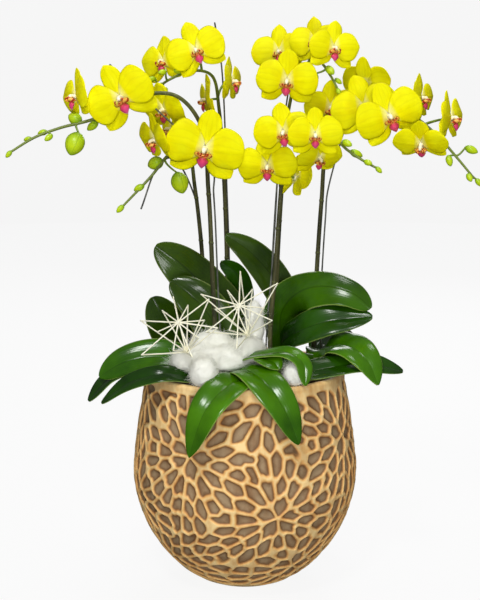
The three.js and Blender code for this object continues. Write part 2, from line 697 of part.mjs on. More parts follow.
function stakeSolid(plant, grow) {
  const { side, foot } = stakeFoot(plant);
  const route = stemPoints(plant);
  const followed = route.slice(2, Math.round(plant.stake.share * route.length));
  const points = [
    foot,
    foot.clone().setZ(plant.top),
    ...followed.map((point) => point.clone().addScaledVector(side, STAKE_OFFSET)),
    ...plant.stake.end.map(toVector),
  ];
  return tube(points, STAKE_SIDES, () => STAKE_RADIUS + grow);
}

const STAKE_HOLE_SIDES = 6;

// The plain hole that a stake's foot needs in the growing medium.
function stakeHole(plant) {
  const { foot } = stakeFoot(plant);
  const depth = plant.top - STAKE_FOOT;
  const radius = (STAKE_RADIUS + SEAT_GAP) / Math.cos(Math.PI / STAKE_HOLE_SIDES);
  const outline = [[0, -SEAT_GAP], [radius, -SEAT_GAP], [radius, depth], [0, depth]];
  return turned(outline, STAKE_HOLE_SIDES).translate(foot.toArray());
}

// ---------------------------------------------------------------- leaves

// Half the width of a strap-shaped leaf, as a share of the widest half. A higher power at the tip
// makes it more pointed.
const BLUNT_TIP = 0.5;

function leafHalf(share, tip = BLUNT_TIP) {
  const rising = 0.42 + 0.58 * Math.sin((Math.min(share / 0.5, 1) * Math.PI) / 2);
  const falling = share > 0.5 ? Math.max(1 - ((share - 0.5) / 0.5) ** 2.2, 0) ** tip : 1;
  return rising * falling;
}

// The rows of a leaf stand closer towards its tip, which is round.
const towardsTip = (v) => 1 - (1 - v) ** 1.5;

// A leaf leaves its crown level, and has turned its face by this share of its length or its own.
const TWIST_SHARE = 0.3;

function leafSolid(name, grow = 0) {
  const leaf = LEAVES[name];
  const { crown } = PLANTS[leaf.plant];
  const outward = new THREE.Vector3(leaf.path[0][0] - crown[0], leaf.path[0][1] - crown[1], 0).normalize();
  const base = Array.isArray(leaf.base)
    ? toVector(leaf.base)
    : new THREE.Vector3(crown[0], crown[1], leaf.base).addScaledVector(outward, CROWN_RADIUS + SEAT_GAP);
  const curve = new THREE.CatmullRomCurve3([base, ...leaf.path.map(toVector)], false, "centripetal");
  const level = outward.clone().cross(new THREE.Vector3(0, 0, 1));
  const sideFacing = (along) => along.clone().cross(toVector(leaf.face)).normalize();
  const sense = Math.sign(sideFacing(curve.getTangentAt(TWIST_SHARE)).dot(level));
  const frameAt = (v) => {
    const share = towardsTip(v);
    const along = curve.getTangentAt(share);
    const turned = sideFacing(along).multiplyScalar(sense);
    const side = level.clone().lerp(turned, Math.min(share / (leaf.level ?? TWIST_SHARE), 1));
    side.addScaledVector(along, -side.dot(along)).normalize();
    return { share, centre: curve.getPointAt(share), side, normal: side.clone().cross(along).normalize() };
  };
  const middleAt = (u, v) => {
    const { share, centre, side, normal } = frameAt(v);
    const half = (leaf.width / 2) * leafHalf(share, leaf.tip) + grow;
    const groove = half * (0.4 * Math.abs(u) - 0.22 * u * u) * Math.min(share / 0.25, 1);
    return centre.addScaledVector(side, u * half).addScaledVector(normal, groove);
  };
  return blade(middleAt, (u, v) => frameAt(v).normal, 4, 6, LEAF_THICKNESS + 2 * grow);
}

// ---------------------------------------------------------------- blooms

const BLOOM_BACK = 0.075; // how far the bloom reaches behind its middle, as a share of its span

// The turn that takes a bloom from facing +Z, with its top sepal along +Y, to the way it looks.
function bloomFrame({ look }) {
  const [right, upward, roll] = look.map((degrees) => degrees * DEGREE);
  const facing = new THREE.Vector3(
    Math.sin(right) * Math.cos(upward),
    -Math.cos(right) * Math.cos(upward),
    Math.sin(upward),
  );
  const top = new THREE.Vector3(0, 0, 1).addScaledVector(facing, -facing.z).normalize();
  top.applyAxisAngle(facing, roll);
  return { facing, basis: new THREE.Matrix4().makeBasis(top.clone().cross(facing), top, facing) };
}

// A closed sheet of lobes round a middle, which rises to a front point and sinks to a back point.
// Each lobe runs out at its angle through rows of [out, half width, height], and ends in a point or,
// where its last row has a width, in a blunt end. Neighbouring lobes share the corners between
// their roots. All sizes are shares of the span.
const BLUNT_CORNER = 0.07;

function whorl({ rootOut, rootHeight, front, back, lobes }, span) {
  const vertices = [];
  const triangles = [];
  const half = PETAL_THICKNESS / 2 / span;
  const point = (place) => vertices.push(toVector(place).multiplyScalar(span)) - 1;
  const turnedPoint = (out, left, angle, height) => {
    const [x, y] = [Math.cos(angle), Math.sin(angle)];
    return point([x * out - y * left, y * out + x * left, height]);
  };
  // On the rim of the sheet both faces have the same point, and inside it they stand apart.
  const onRim = (...place) => {
    const index = turnedPoint(...place);
    return [index, index];
  };
  const inside = (out, angle, height) => [
    turnedPoint(out, 0, angle, height + half),
    turnedPoint(out, 0, angle, height - half),
  ];
  const face = (a, b, c) => triangles.push([a[0], b[0], c[0]], [c[1], b[1], a[1]]);
  const centre = [point(front), point(back)];
  const angles = lobes.map(({ angle }) => angle * DEGREE);
  const corners = angles.map((angle, i) => {
    const before = angles.at(i - 1) - (i === 0 ? 2 * Math.PI : 0);
    return onRim(rootOut, 0, (angle + before) / 2, rootHeight);
  });
  lobes.forEach(({ rows, lift }, i) => {
    const angle = angles[i];
    let [right, left] = [corners[i], corners[(i + 1) % lobes.length]];
    let middle = inside(rootOut, angle, rootHeight);
    face(centre, right, middle);
    face(centre, middle, left);
    rows.forEach(([out, width, height], row) => {
      const last = row === rows.length - 1;
      const edgeOut = out - (last ? BLUNT_CORNER : 0);
      const edgeHeight = height - width * lift;
      const nextMiddle = last ? onRim(out, 0, angle, height) : inside(out, angle, height);
      const nextRight = width > 0 ? onRim(edgeOut, -width, angle, edgeHeight) : nextMiddle;
      const nextLeft = width > 0 ? onRim(edgeOut, width, angle, edgeHeight) : nextMiddle;
      if (width > 0) {
        face(right, nextRight, nextMiddle);
        face(middle, nextLeft, left);
      }
      face(right, nextMiddle, middle);
      face(middle, nextMiddle, nextLeft === nextMiddle ? left : nextLeft);
      [right, middle, left] = [nextRight, nextMiddle, nextLeft];
    });
  });
  return solidFromTriangles(vertices, triangles);
}

// Two broad round petals stand before three narrower sepals.
const SEPAL_ROWS = [[0.18, 0.14, -0.075], [0.36, 0.155, -0.07], [0.5, 0, -0.04]];
const PETAL_ROWS = [[0.16, 0.2, 0.05], [0.33, 0.275, 0.055], [0.5, 0.16, 0.05]];
const sepal = (angle) => ({ angle, rows: SEPAL_ROWS, lift: 0.1 });
const petal = (angle) => ({ angle, rows: PETAL_ROWS, lift: 0.05 });
const FLOWER = {
  rootOut: 0.06,
  rootHeight: 0,
  front: [0, 0, 0.02],
  back: [0, 0, -BLOOM_BACK],
  lobes: [sepal(-142), sepal(-38), petal(8), sepal(90), petal(172)],
};

// The lip stands before them: a front lobe, two side lobes that rise, and the column above it,
// whose foot is sunk in the middle of the flower.
const SIDE_LOBE_ROWS = [[0.1, 0.05, 0.13], [0.12, 0, 0.2]];
const sideLobe = (angle) => ({ angle, rows: SIDE_LOBE_ROWS, lift: -0.3 });
const LIP = {
  rootOut: 0.045,
  rootHeight: 0.07,
  front: [0, 0.02, 0.15],
  back: [0.012, 0.012, 0],
  lobes: [
    { angle: -90, rows: [[0.11, 0.06, 0.12], [0.18, 0.055, 0.13], [0.24, 0, 0.09]], lift: 0.2 },
    sideLobe(-15),
    sideLobe(195),
  ],
};

function bloomSolid(name) {
  const bloom = BLOOMS[name];
  const place = bloomFrame(bloom).basis.setPosition(...bloom.at);
  return fuse([whorl(FLOWER, bloom.span), whorl(LIP, bloom.span)]).transform(place.elements);
}

// ---------------------------------------------------------------- stick stars

function starSolid(name) {
  const star = STARS[name];
  const [front, rear] = [toVector(star.front), toVector(star.rear)];
  const axis = front.clone().sub(rear).normalize();
  const across = new THREE.Vector3(0, 0, 1).cross(axis).normalize();
  const upward = axis.clone().cross(across);
  const middle = front.clone().lerp(rear, STAR_DEPTH_SHARE);
  const hub = (place) => solidFrom(new THREE.IcosahedronGeometry(HUB_RADIUS)).translate(place.toArray());
  const rays = star.rays.map(([degrees, length]) => {
    const tip = middle.clone().addScaledVector(across, length * Math.cos(degrees * DEGREE));
    tip.addScaledVector(upward, length * Math.sin(degrees * DEGREE));
    return raySolid(front, tip, rear);
  });
  return fuse([hub(front), hub(rear), ...rays]);
}

// Two sticks that meet in a mitred point.
function raySolid(front, tip, rear) {
  const half = STICK_CORNER_RADIUS;
  const [toFront, toRear] = [front.clone().sub(tip).normalize(), rear.clone().sub(tip).normalize()];
  const flat = toFront.clone().cross(toRear).normalize();
  const outward = toFront.clone().add(toRear).normalize().negate();
  const mitre = half / Math.sin(toFront.angleTo(toRear) / 2);
  const ring = (centre, across, reach) => [0, 1, 2].map((corner) => {
    const turn = (corner * 2 * Math.PI) / 3;
    const sideways = centre.clone().addScaledVector(flat, half * Math.cos(turn));
    return sideways.addScaledVector(across, reach * Math.sin(turn));
  });
  const vertices = [
    ...ring(front, toFront.clone().cross(flat), half),
    ...ring(tip, outward, mitre),
    ...ring(rear, flat.clone().cross(toRear), half),
  ];
  const triangles = [[0, 1, 2], [8, 7, 6]];
  for (const start of [0, 3]) {
    for (let j = 0; j < 3; j += 1) {
      const [a, b] = [start + j, start + ((j + 1) % 3)];
      triangles.push([b, a, a + 3], [b, a + 3, b + 3]);
    }
  }
  return solidFromTriangles(vertices, triangles);
}

// ---------------------------------------------------------------- fibre and growing medium

// Soft lumps: the centre, the radii and the lowest level of the rounded lumps that make up each
// piece of fibre. The mound lies on the bases of the leaves, so it is flat below.
const MOUND_UNDERSIDE = 270;
const FIBRE_PIECES = {
  white_fibre_mound: [
    { centre: [-42, -60, 274], radii: [48, 26, 26], lowest: MOUND_UNDERSIDE },
    { centre: [-38, -48, 292], radii: [26, 18, 19], lowest: MOUND_UNDERSIDE },
    { centre: [2, -44, 280], radii: [24, 20, 24], lowest: MOUND_UNDERSIDE },
    { centre: [-46, -93, 270], radii: [17, 21, 19], lowest: POT_HEIGHT + SEAT_GAP },
    { centre: [11, -28, 314], radii: [11, 12, 31], lowest: MOUND_UNDERSIDE },
  ],
  white_fibre_wad: [
    { centre: [54, -92, 268], radii: [13, 14, 16], lowest: POT_HEIGHT + SEAT_GAP },
  ],
};
const FIBRE_ROUGHNESS = 0.08;

function fibreSolid(name) {
  const lumps = FIBRE_PIECES[name].map(({ centre, radii, lowest }, index) => {
    const geometry = new THREE.IcosahedronGeometry(1, 1);
    const places = geometry.attributes.position;
    for (let i = 0; i < places.count; i += 1) {
      const point = new THREE.Vector3().fromBufferAttribute(places, i);
      const wave = Math.sin(7 * point.x + 3 * index) * Math.sin(6 * point.y + 1) * Math.sin(5 * point.z + 2);
      point.multiplyScalar(1 + FIBRE_ROUGHNESS * wave).multiply(toVector(radii)).add(toVector(centre));
      places.setXYZ(i, point.x, point.y, Math.max(point.z, lowest));
    }
    return solidFrom(geometry);
  });
  return fuse(lumps);
}

// The fibre without what passes through it or lies under it, and without the crumbs that leaves.
function carvedFibre(name, neighbours) {
  const pieces = carve(fibreSolid(name), neighbours).decompose();
  return pieces.reduce((largest, piece) => (piece.volume() > largest.volume() ? piece : largest));
}

const MOUND_LEAVES = [
  "leaf_back_left_low",
  "leaf_left_wide",
  "leaf_left_low",
  "leaf_left_edge",
  "leaf_front_left",
  "leaf_front_right",
  "leaf_front_folded",
  "leaf_front_short",
];
const moundNeighbours = () => [
  crownSolid(PLANTS.plant_2, SEAT_GAP),
  stemSolid(PLANTS.plant_2, SEAT_GAP),
  stakeSolid(PLANTS.plant_2, SEAT_GAP),
  ...MOUND_LEAVES.map((name) => leafSolid(name, SEAT_GAP)),
];
const wadNeighbours = () => ["leaf_front_folded", "leaf_front_short", "leaf_front_right", "leaf_right_far"]
  .map((name) => leafSolid(name, SEAT_GAP));

function mediumSolid(cutters) {
  const outline = cavityOutline(SEAT_GAP, MEDIUM_EDGE_HEIGHT).slice(0, -1);
  const dome = [[MEDIUM_CROWN_RADIUS, MEDIUM_CROWN_HEIGHT], [0, MEDIUM_CROWN_HEIGHT]];
  const body = turned([...outline, ...dome], POT_SIDES);
  return carve(body, cutters);
}

// ---------------------------------------------------------------- assembly

const colours = {
  ceramic: new THREE.MeshStandardMaterial({ color: "#b98a4f", roughness: 0.6, metalness: 0.05 }),
  bark: new THREE.MeshStandardMaterial({ color: "#5b4330", roughness: 0.95, metalness: 0 }),
  fibre: new THREE.MeshStandardMaterial({ color: "#e9ece6", roughness: 1, metalness: 0 }),
  stick: new THREE.MeshStandardMaterial({ color: "#efe6bf", roughness: 0.7, metalness: 0 }),
  stem: new THREE.MeshStandardMaterial({ color: "#4d5a2a", roughness: 0.6, metalness: 0 }),
  wire: new THREE.MeshStandardMaterial({ color: "#3a3d36", roughness: 0.5, metalness: 0.4 }),
  leaf: new THREE.MeshStandardMaterial({ color: "#2c5a1a", roughness: 0.35, metalness: 0 }),
  petal: new THREE.MeshStandardMaterial({ color: "#ece11c", roughness: 0.55, metalness: 0 }),
};

const orchid = new THREE.Group();
function add(name, solid, material) {
  const mesh = new THREE.Mesh(geometryFrom(solid), material);
  mesh.name = name;
  orchid.add(mesh);
}

const plantNames = Object.keys(PLANTS);
const stakeName = (name) => name.replace("plant", "stake");
const pairedLeaves = Object.values(LEAF_PIECES).flat();

add("pot", potSolid(), colours.ceramic);
add("growing_medium", mediumSolid(Object.values(PLANTS).flatMap((plant) => [
  crownSolid(plant, SEAT_GAP),
  stakeHole(plant),
])), colours.bark);
add("white_fibre_mound", carvedFibre("white_fibre_mound", moundNeighbours()), colours.fibre);
add("white_fibre_wad", carvedFibre("white_fibre_wad", wadNeighbours()), colours.fibre);
Object.keys(STARS).forEach((name) => add(name, starSolid(name), colours.stick));
plantNames.forEach((name) => add(name, plantSolid(name), colours.stem));
plantNames.forEach((name) => add(stakeName(name), stakeSolid(PLANTS[name], 0), colours.wire));
Object.keys(LEAVES).filter((name) => !pairedLeaves.includes(name)).forEach((name) => {
  add(name, leafSolid(name), colours.leaf);
});
Object.entries(LEAF_PIECES).forEach(([name, leaves]) => {
  add(name, fuse(leaves.map((leaf) => leafSolid(leaf))), colours.leaf);
});
Object.keys(BLOOMS).forEach((name) => add(name, bloomSolid(name), colours.petal));

export default orchid;
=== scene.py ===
"""The looks of a potted moth orchid: a carved pot, glossy leaves, yellow blooms on arching stems,
white fibre and two stick stars. Tables are in millimetres and meshes in metres; -Y is the front."""

import math
import random

import bmesh
import bpy
import numpy as np
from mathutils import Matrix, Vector, noise


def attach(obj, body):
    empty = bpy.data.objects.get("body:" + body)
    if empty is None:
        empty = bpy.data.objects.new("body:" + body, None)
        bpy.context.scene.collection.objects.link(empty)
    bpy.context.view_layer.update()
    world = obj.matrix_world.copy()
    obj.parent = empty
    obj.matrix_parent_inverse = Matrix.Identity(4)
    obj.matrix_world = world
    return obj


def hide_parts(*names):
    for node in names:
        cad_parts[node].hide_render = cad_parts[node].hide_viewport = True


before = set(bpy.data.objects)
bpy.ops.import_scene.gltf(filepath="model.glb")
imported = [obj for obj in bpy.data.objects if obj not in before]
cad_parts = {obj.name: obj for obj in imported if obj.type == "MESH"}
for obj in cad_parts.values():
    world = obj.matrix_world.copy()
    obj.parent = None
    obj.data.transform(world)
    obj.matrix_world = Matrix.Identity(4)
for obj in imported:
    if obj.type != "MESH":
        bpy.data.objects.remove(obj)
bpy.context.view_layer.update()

MM = 0.001
# Points closer than this, in metres, are joined.
JOIN_DISTANCE = 1e-6
RIGHT, BACK, UP = np.eye(3)

# ---------------- sizes, in millimetres

# The pot's outline, as radius and height.
POT_OUTLINE = [
    (52, 0), (64, 6), (83, 20), (105, 45), (124, 80), (134.5, 125), (131, 175), (121, 237), (118, 253),
]
POT_WALL = 9
POT_FLOOR = 14
NET_LOW = 5
NET_HIGH = 248
# The middles that the hollows spread from: degrees to the right of the front, and height.
NET_FLOWERS = [
    (-29, 179), (62, 190), (152, 182), (-118, 184),
    (16, 111), (107, 114), (198, 110), (-73, 112),
    (-63, 34), (33, 38), (122, 36), (-150, 36),
    (10, 240), (106, 242), (196, 240), (-76, 242),
]

CROWN_RADIUS = 7.5
CROWN_FOOT = 206
STEM_RADIUS = 2.8
STEM_TIP_RADIUS = 1.3
STAKE_RADIUS = 1.0
STAKE_FOOT = 160
STAKE_OFFSET = 6.5
MEDIUM_HEIGHT = 237
MEDIUM_DROP = 7

# Each plant: its crown's place and top, its stem's route, its buds (place and half length) and its
# wire stake: the side of the stem it stands on, the share of the stem it follows, its last points.
PLANTS = {
    "plant_1": {
        "crown": (-50, 60),
        "top": 268,
        "stem": [
            (-50, 58, 300), (-52, 54, 381), (-60, 32, 470), (-66, 6, 508), (-83, -16, 514),
            (-109, -35, 485), (-140, -45, 453),
        ],
        "buds": [(-103, -22, 501, 10), (-121, -38, 474, 7), (-142, -46, 451, 6), (-75, -25, 479, 13)],
        "stake": ((0, 1), 0.56, [(-84, 10, 505), (-101, -8, 497), (-120, -24, 449)]),
    },
    "plant_2": {
        "crown": (-30, -46),
        "top": 268,
        "stem": [
            (-34, -42, 300), (-37, -37, 355), (-42, -36, 470), (-50, -40, 545), (-78, -47, 578),
            (-120, -55, 577), (-164, -65, 554), (-205, -72, 543), (-232, -78, 533), (-260, -84, 516),
        ],
        "buds": [
            (-189, -64, 553, 9), (-170, -60, 545, 8), (-188, -78, 526, 14), (-224, -72, 538, 6),
            (-216, -82, 533, 6), (-240, -76, 531, 5), (-260, -84, 515, 5),
        ],
        "stake": ((0.9, 0.5), 0.5, [(-130, -40, 590), (-151, -44, 612)]),
    },
    "plant_3": {
        "crown": (-20, 86),
        "top": 274,
        "stem": [
            (-21, 86, 300), (-23, 84, 400), (-26, 74, 481), (-31, 56, 560), (-39, 36, 600),
            (-60, 20, 606), (-87, 8, 596), (-112, -8, 578),
        ],
        "buds": [
            (-77, 4, 606, 7), (-95, -6, 604, 6), (-108, -2, 596, 6), (-99, 10, 588, 6),
            (-110, -14, 588, 5), (-92, -4, 583, 5),
        ],
        "stake": ((0.5, 1), 0.5, [(-28, 66, 610), (-36, 60, 662)]),
    },
    "plant_4": {
        "crown": (30, -38),
        "top": 270,
        "stem": [
            (29, -35, 300), (35, -28, 378), (41, -22, 470), (45, -24, 520), (58, -34, 548),
            (90, -50, 542), (113, -60, 519), (136, -68, 504), (148, -72, 498),
        ],
        "buds": [(113, -66, 526, 7), (124, -58, 514, 8), (136, -72, 505, 6), (148, -72, 497, 5)],
        "stake": ((-0.6, 0.8), 0.45, [(40, -12, 545)]),
    },
    "plant_5": {
        "crown": (84, 42),
        "top": 270,
        "stem": [
            (85, 42, 300), (87, 42, 360), (92, 42, 450), (98, 36, 520), (120, 20, 566), (158, -4, 574),
            (193, -26, 554), (219, -42, 531), (238, -52, 509), (256, -60, 487),
        ],
        "buds": [(254, -50, 518, 8), (229, -54, 506, 7), (250, -66, 488, 6), (262, -60, 482, 6)],
        "stake": ((1, -0.3), 0.45, [(130, 18, 586)]),
    },
    "plant_6": {
        "crown": (40, 46),
        "top": 274,
        "stem": [
            (38, 44, 300), (39, 42, 368), (45, 36, 480), (52, 26, 565), (64, 8, 606), (84, -8, 616),
            (97, -18, 600), (106, -24, 583),
        ],
        "buds": [
            (60, -8, 592, 8), (80, -20, 598, 6), (96, -24, 606, 8), (106, -18, 594, 5),
            (106, -26, 582, 5),
        ],
        "stake": ((-1, 0.3), 0.6, [(52, 24, 592)]),
    },
}

# Leaves: the plant, the height of the base on its crown (or the base's place), the width, the way
# the upper face looks, and the midrib's further points.
FRONT = (0, -0.85, 0.5)
UPWARD = (0, -0.25, 1)
LEAVES = {
    "leaf_back_left_high": (
        "plant_3", 264, 60, FRONT, [(-23, 50, 314), (-47, 38, 345), (-77, 34, 376), (-108, 38, 398)]),
    "leaf_back_left_low": (
        "plant_2", 262, 54, FRONT, [(-28, -12, 284), (-42, -2, 318), (-65, 2, 343), (-88, 8, 360)]),
    "leaf_left_blunt": (
        "plant_1", 262, 50, FRONT, [(-73, 30, 272), (-88, 16, 296), (-100, 12, 319), (-111, 16, 339)]),
    "leaf_left_wide": (
        "plant_2", 258, 46, (0, -0.75, 0.65),
        [(-69, -46, 272), (-105, -46, 278), (-138, -48, 273), (-169, -50, 256)]),
    "leaf_left_low": (
        "plant_2", 250, 36, UPWARD,
        [(-66, -44, 256), (-111, -42, 264), (-155, -46, 254), (-182, -50, 227)]),
    "leaf_left_edge": (
        "plant_2", 248, 26, (0, -0.6, 0.8),
        [(-58, -72, 259), (-91, -85, 267), (-131, -80, 256), (-165, -66, 229)]),
    "leaf_back_tall": (
        "plant_6", 268, 42, FRONT, [(50, 62, 320), (34, 66, 354), (6, 68, 386), (-24, 70, 407)]),
    "leaf_back_curled": (
        "plant_3", 268, 32, FRONT, [(-7, 76, 308), (-5, 70, 338), (-12, 67, 361), (-30, 66, 374)]),
    "leaf_right_top": (
        "plant_6", 268, 52, (0.1, -0.75, 0.65),
        [(45, 34, 318), (67, 20, 345), (97, 6, 353), (126, -5, 347), (148, -13, 330)]),
    "leaf_right_second": (
        "plant_6", 256, 43, (0, -0.75, 0.65),
        [(48, 17, 284), (70, -2, 302), (97, -9, 313), (125, -11, 317), (150, -15, 320)]),
    "leaf_right_drooping": (
        "plant_5", 260, 46, (0.25, -0.8, 0.55),
        [(91, 1, 277), (112, -33, 289), (128, -57, 288), (141, -74, 275), (150, -86, 255)]),
    "leaf_right_hidden": (
        "plant_5", 264, 36, FRONT, [(92, 60, 274), (106, 74, 278), (124, 86, 270), (140, 96, 250)]),
    "leaf_right_broad": (
        "plant_4", 264, 34, (0, -0.55, 0.85),
        [(55, -32, 272), (88, -24, 262), (121, -22, 268), (148, -20, 263)]),
    "leaf_right_far": (
        "plant_4", 252, 36, (0, -0.5, 0.85),
        [(61, -60, 261), (97, -59, 268), (140, -53, 272), (183, -48, 262)]),
    "leaf_front_left": (
        "plant_4", 246, 44, (-0.3, -0.75, 0.6),
        [(8, -76, 256), (-14, -109, 262), (-42, -136, 240), (-62, -146, 188)]),
    "leaf_front_right": (
        "plant_2", 252, 42, (0.2, -0.75, 0.6),
        [(-6, -76, 269), (16, -109, 268), (40, -134, 242), (58, -144, 202)]),
    "leaf_front_folded": (
        "plant_2", 261, 26, (0.1, -0.4, 1),
        [(-6, -56, 276), (21, -78, 288), (48, -94, 293), (64, -104, 283), (66, -118, 262)]),
    "leaf_front_short": (
        "plant_2", (14, -73, 285), 26, (0.1, -0.6, 0.8),
        [(23, -88, 285), (31, -97, 283), (38, -103, 277)]),
}
LEAF_PAIRS = {
    "leaf_left_pair": ("leaf_left_low", "leaf_left_edge"),
    "leaf_front_pair": ("leaf_front_folded", "leaf_front_short"),
}
LEAF_THICKNESS = 2.4
# A leaf's base lies this far from the middle of its crown.
LEAF_SEAT = 7.8
# The share of its length within which a leaf has turned its face the way that it looks.
TWIST = 0.3
LEAF_TWISTS = {
    "leaf_left_blunt": 0.5, "leaf_right_top": 0.5, "leaf_front_left": 0.6, "leaf_front_right": 0.6,
}
# How sharply a leaf narrows to its tip: it is blunt unless named here.
BLUNT_TIP = 0.5
LEAF_TIPS = {
    "leaf_left_wide": 0.6, "leaf_right_drooping": 0.65, "leaf_front_left": 0.75, "leaf_front_right": 0.65,
}

# The blooms of each group, numbered from 1: the plant, the column's place, the way the face looks
# (degrees to the right, upward and turned anticlockwise), and the span.
LEFT_BLOOMS = [
    ("plant_2", (-187, -66, 577), (-60, 0, 8), 64),
    ("plant_2", (-135, -88, 576), (-12, -6, 28), 80),
    ("plant_3", (-96, 32, 616), (-35, 5, 10), 62),
    ("plant_3", (-93, -20, 562), (-40, -25, 0), 64),
    ("plant_3", (-55, -22, 628), (-5, 0, 22), 68),
    ("plant_3", (-45, 35, 572), (-78, -8, 0), 60),
    ("plant_3", (-16, 62, 593), (72, 0, 0), 60),
    ("plant_1", (-101, -54, 529), (-58, -18, 0), 62),
    ("plant_1", (-86, 14, 538), (-70, 0, 0), 62),
    ("plant_2", (-45, -74, 520), (-5, -10, -10), 88),
]
RIGHT_BLOOMS = [
    ("plant_6", (99, -34, 630), (20, 0, -4), 62),
    ("plant_6", (80, 10, 638), (-20, 5, 5), 60),
    ("plant_6", (47, -34, 594), (-6, -12, -6), 70),
    ("plant_6", (40, 35, 627), (-10, 5, 4), 66),
    ("plant_4", (42, -70, 538), (-8, -8, 8), 66),
    ("plant_4", (76, -92, 536), (0, -8, 0), 60),
    ("plant_4", (25, -42, 499), (-5, -14, 0), 68),
    ("plant_5", (98, -4, 563), (12, -5, 0), 64),
    ("plant_5", (134, -40, 564), (-6, -4, 16), 76),
    ("plant_5", (158, -80, 556), (4, -8, 24), 76),
    ("plant_5", (142, 30, 592), (150, 10, 0), 62),
    ("plant_5", (205, 10, 574), (58, 0, 0), 58),
    ("plant_5", (190, -104, 527), (-20, -42, 0), 62),
    ("plant_5", (234, -25, 552), (60, 4, 0), 64),
    ("plant_4", (60, 0, 482), (120, -18, 0), 58),
    ("plant_4", (84, -36, 508), (24, -30, 0), 56),
]
BLOOMS = {
    f"bloom_{side}_{number}": bloom
    for side, blooms in (("left", LEFT_BLOOMS), ("right", RIGHT_BLOOMS))
    for number, bloom in enumerate(blooms, 1)
}
# Where a bloom's stalk leaves the stem, in shares of its length, if that isn't near the bloom.
STALK_SHARES = {"bloom_right_2": 0.78, "bloom_right_10": 0.8}
# In spans: how far behind a bloom's place its stalk ends, and how far a petal reaches.
STALK_END = 0.045
BLOOM_REACH = 0.5
PETAL_THICKNESS = 0.9

# Stick stars: the front hub, the rear hub, and each ray's angle and length.
STARS = {
    "stick_star_left": (
        (-73.5, -117.9, 333.4), (-66.5, -77.9, 291.4),
        [(165, 50), (133, 38), (109, 50), (86, 36), (61, 52), (34, 29), (9, 41), (-20, 22), (-62, 38),
         (-100, 26), (-140, 51), (-176, 27)]),
    "stick_star_right": (
        (-7, -96.4, 348.5), (3, -50.4, 305.5),
        [(154, 57), (124, 38), (100, 59), (78, 35), (51, 56), (22, 26), (-10, 36), (-49, 20), (-89, 44),
         (-118, 24), (-146, 45), (170, 32)]),
}
STAR_DEPTH_SHARE = 0.3
STICK_RADIUS = 0.8
STICK_SIDES = 7

# ---------------- curves and grids of points


def unit(vectors):
    """The same directions with length one."""
    return vectors / np.maximum(np.linalg.norm(vectors, axis=-1, keepdims=True), 1e-9)


def smoothstep(low, high, value):
    """A smooth rise from 0 at the low value to 1 at the high one."""
    share = np.clip((value - low) / (high - low), 0, 1)
    return share * share * (3 - 2 * share)


def between(places, known, points):
    """The points of a route at places between the known ones."""
    return np.stack([np.interp(places, known, column) for column in points.T], -1)


def lengths_along(points):
    """How far along a route each of its points lies."""
    steps = np.linalg.norm(np.diff(points, axis=0), axis=1)
    return np.concatenate([[0], np.cumsum(steps)])


def evenly(points, count):
    """A route's points spaced evenly along it."""
    reached = lengths_along(points)
    return between(np.linspace(0, reached[-1], count), reached, points)


def curve_through(points, count, power=0.5):
    """Evenly spaced points of the Catmull-Rom curve through the given ones."""
    route = np.array(points, float)
    route = np.vstack([2 * route[0] - route[1], route, 2 * route[-1] - route[-2]])
    gaps = np.linalg.norm(np.diff(route, axis=0), axis=1) ** power
    t = np.linspace(0, 1, 40, endpoint=False)[:, None]
    pieces = []
    for i in range(1, len(route) - 2):
        a, b, c, d = route[i - 1:i + 3]
        ab, bc, cd = gaps[i - 1:i + 2]
        leaving = ((b - a) / ab - (c - a) / (ab + bc) + (c - b) / bc) * bc
        arriving = ((c - b) / bc - (d - b) / (bc + cd) + (d - c) / cd) * bc
        square = -3 * b + 3 * c - 2 * leaving - arriving
        cube = 2 * b - 2 * c + leaving + arriving
        pieces.append(b + leaving * t + square * t**2 + cube * t**3)
    return evenly(np.vstack([*pieces, route[-2:-1]]), count)


def at_share(points, share):
    """The points of an evenly spaced route at shares of its length."""
    return between(np.asarray(share) * (len(points) - 1), np.arange(len(points)), points)


def round_turns(count):
    """Angles evenly spaced round a full turn."""
    return np.linspace(0, 2 * math.pi, count, endpoint=False)


def circle(centre, radius, side, other, turns):
    """Points about a centre, at turns from one direction towards another."""
    return centre + radius * (np.cos(turns)[:, None] * side + np.sin(turns)[:, None] * other)


def grid_faces(rows, columns, closed=False):
    """Four-sided faces between neighbouring points of a grid, whose rows may close on themselves."""
    index = np.arange(rows * columns).reshape(rows, columns)
    if closed:
        index = np.hstack([index, index[:, :1]])
    corners = [index[:-1, :-1], index[:-1, 1:], index[1:, 1:], index[1:, :-1]]
    return np.stack(corners, -1).reshape(-1, 4)


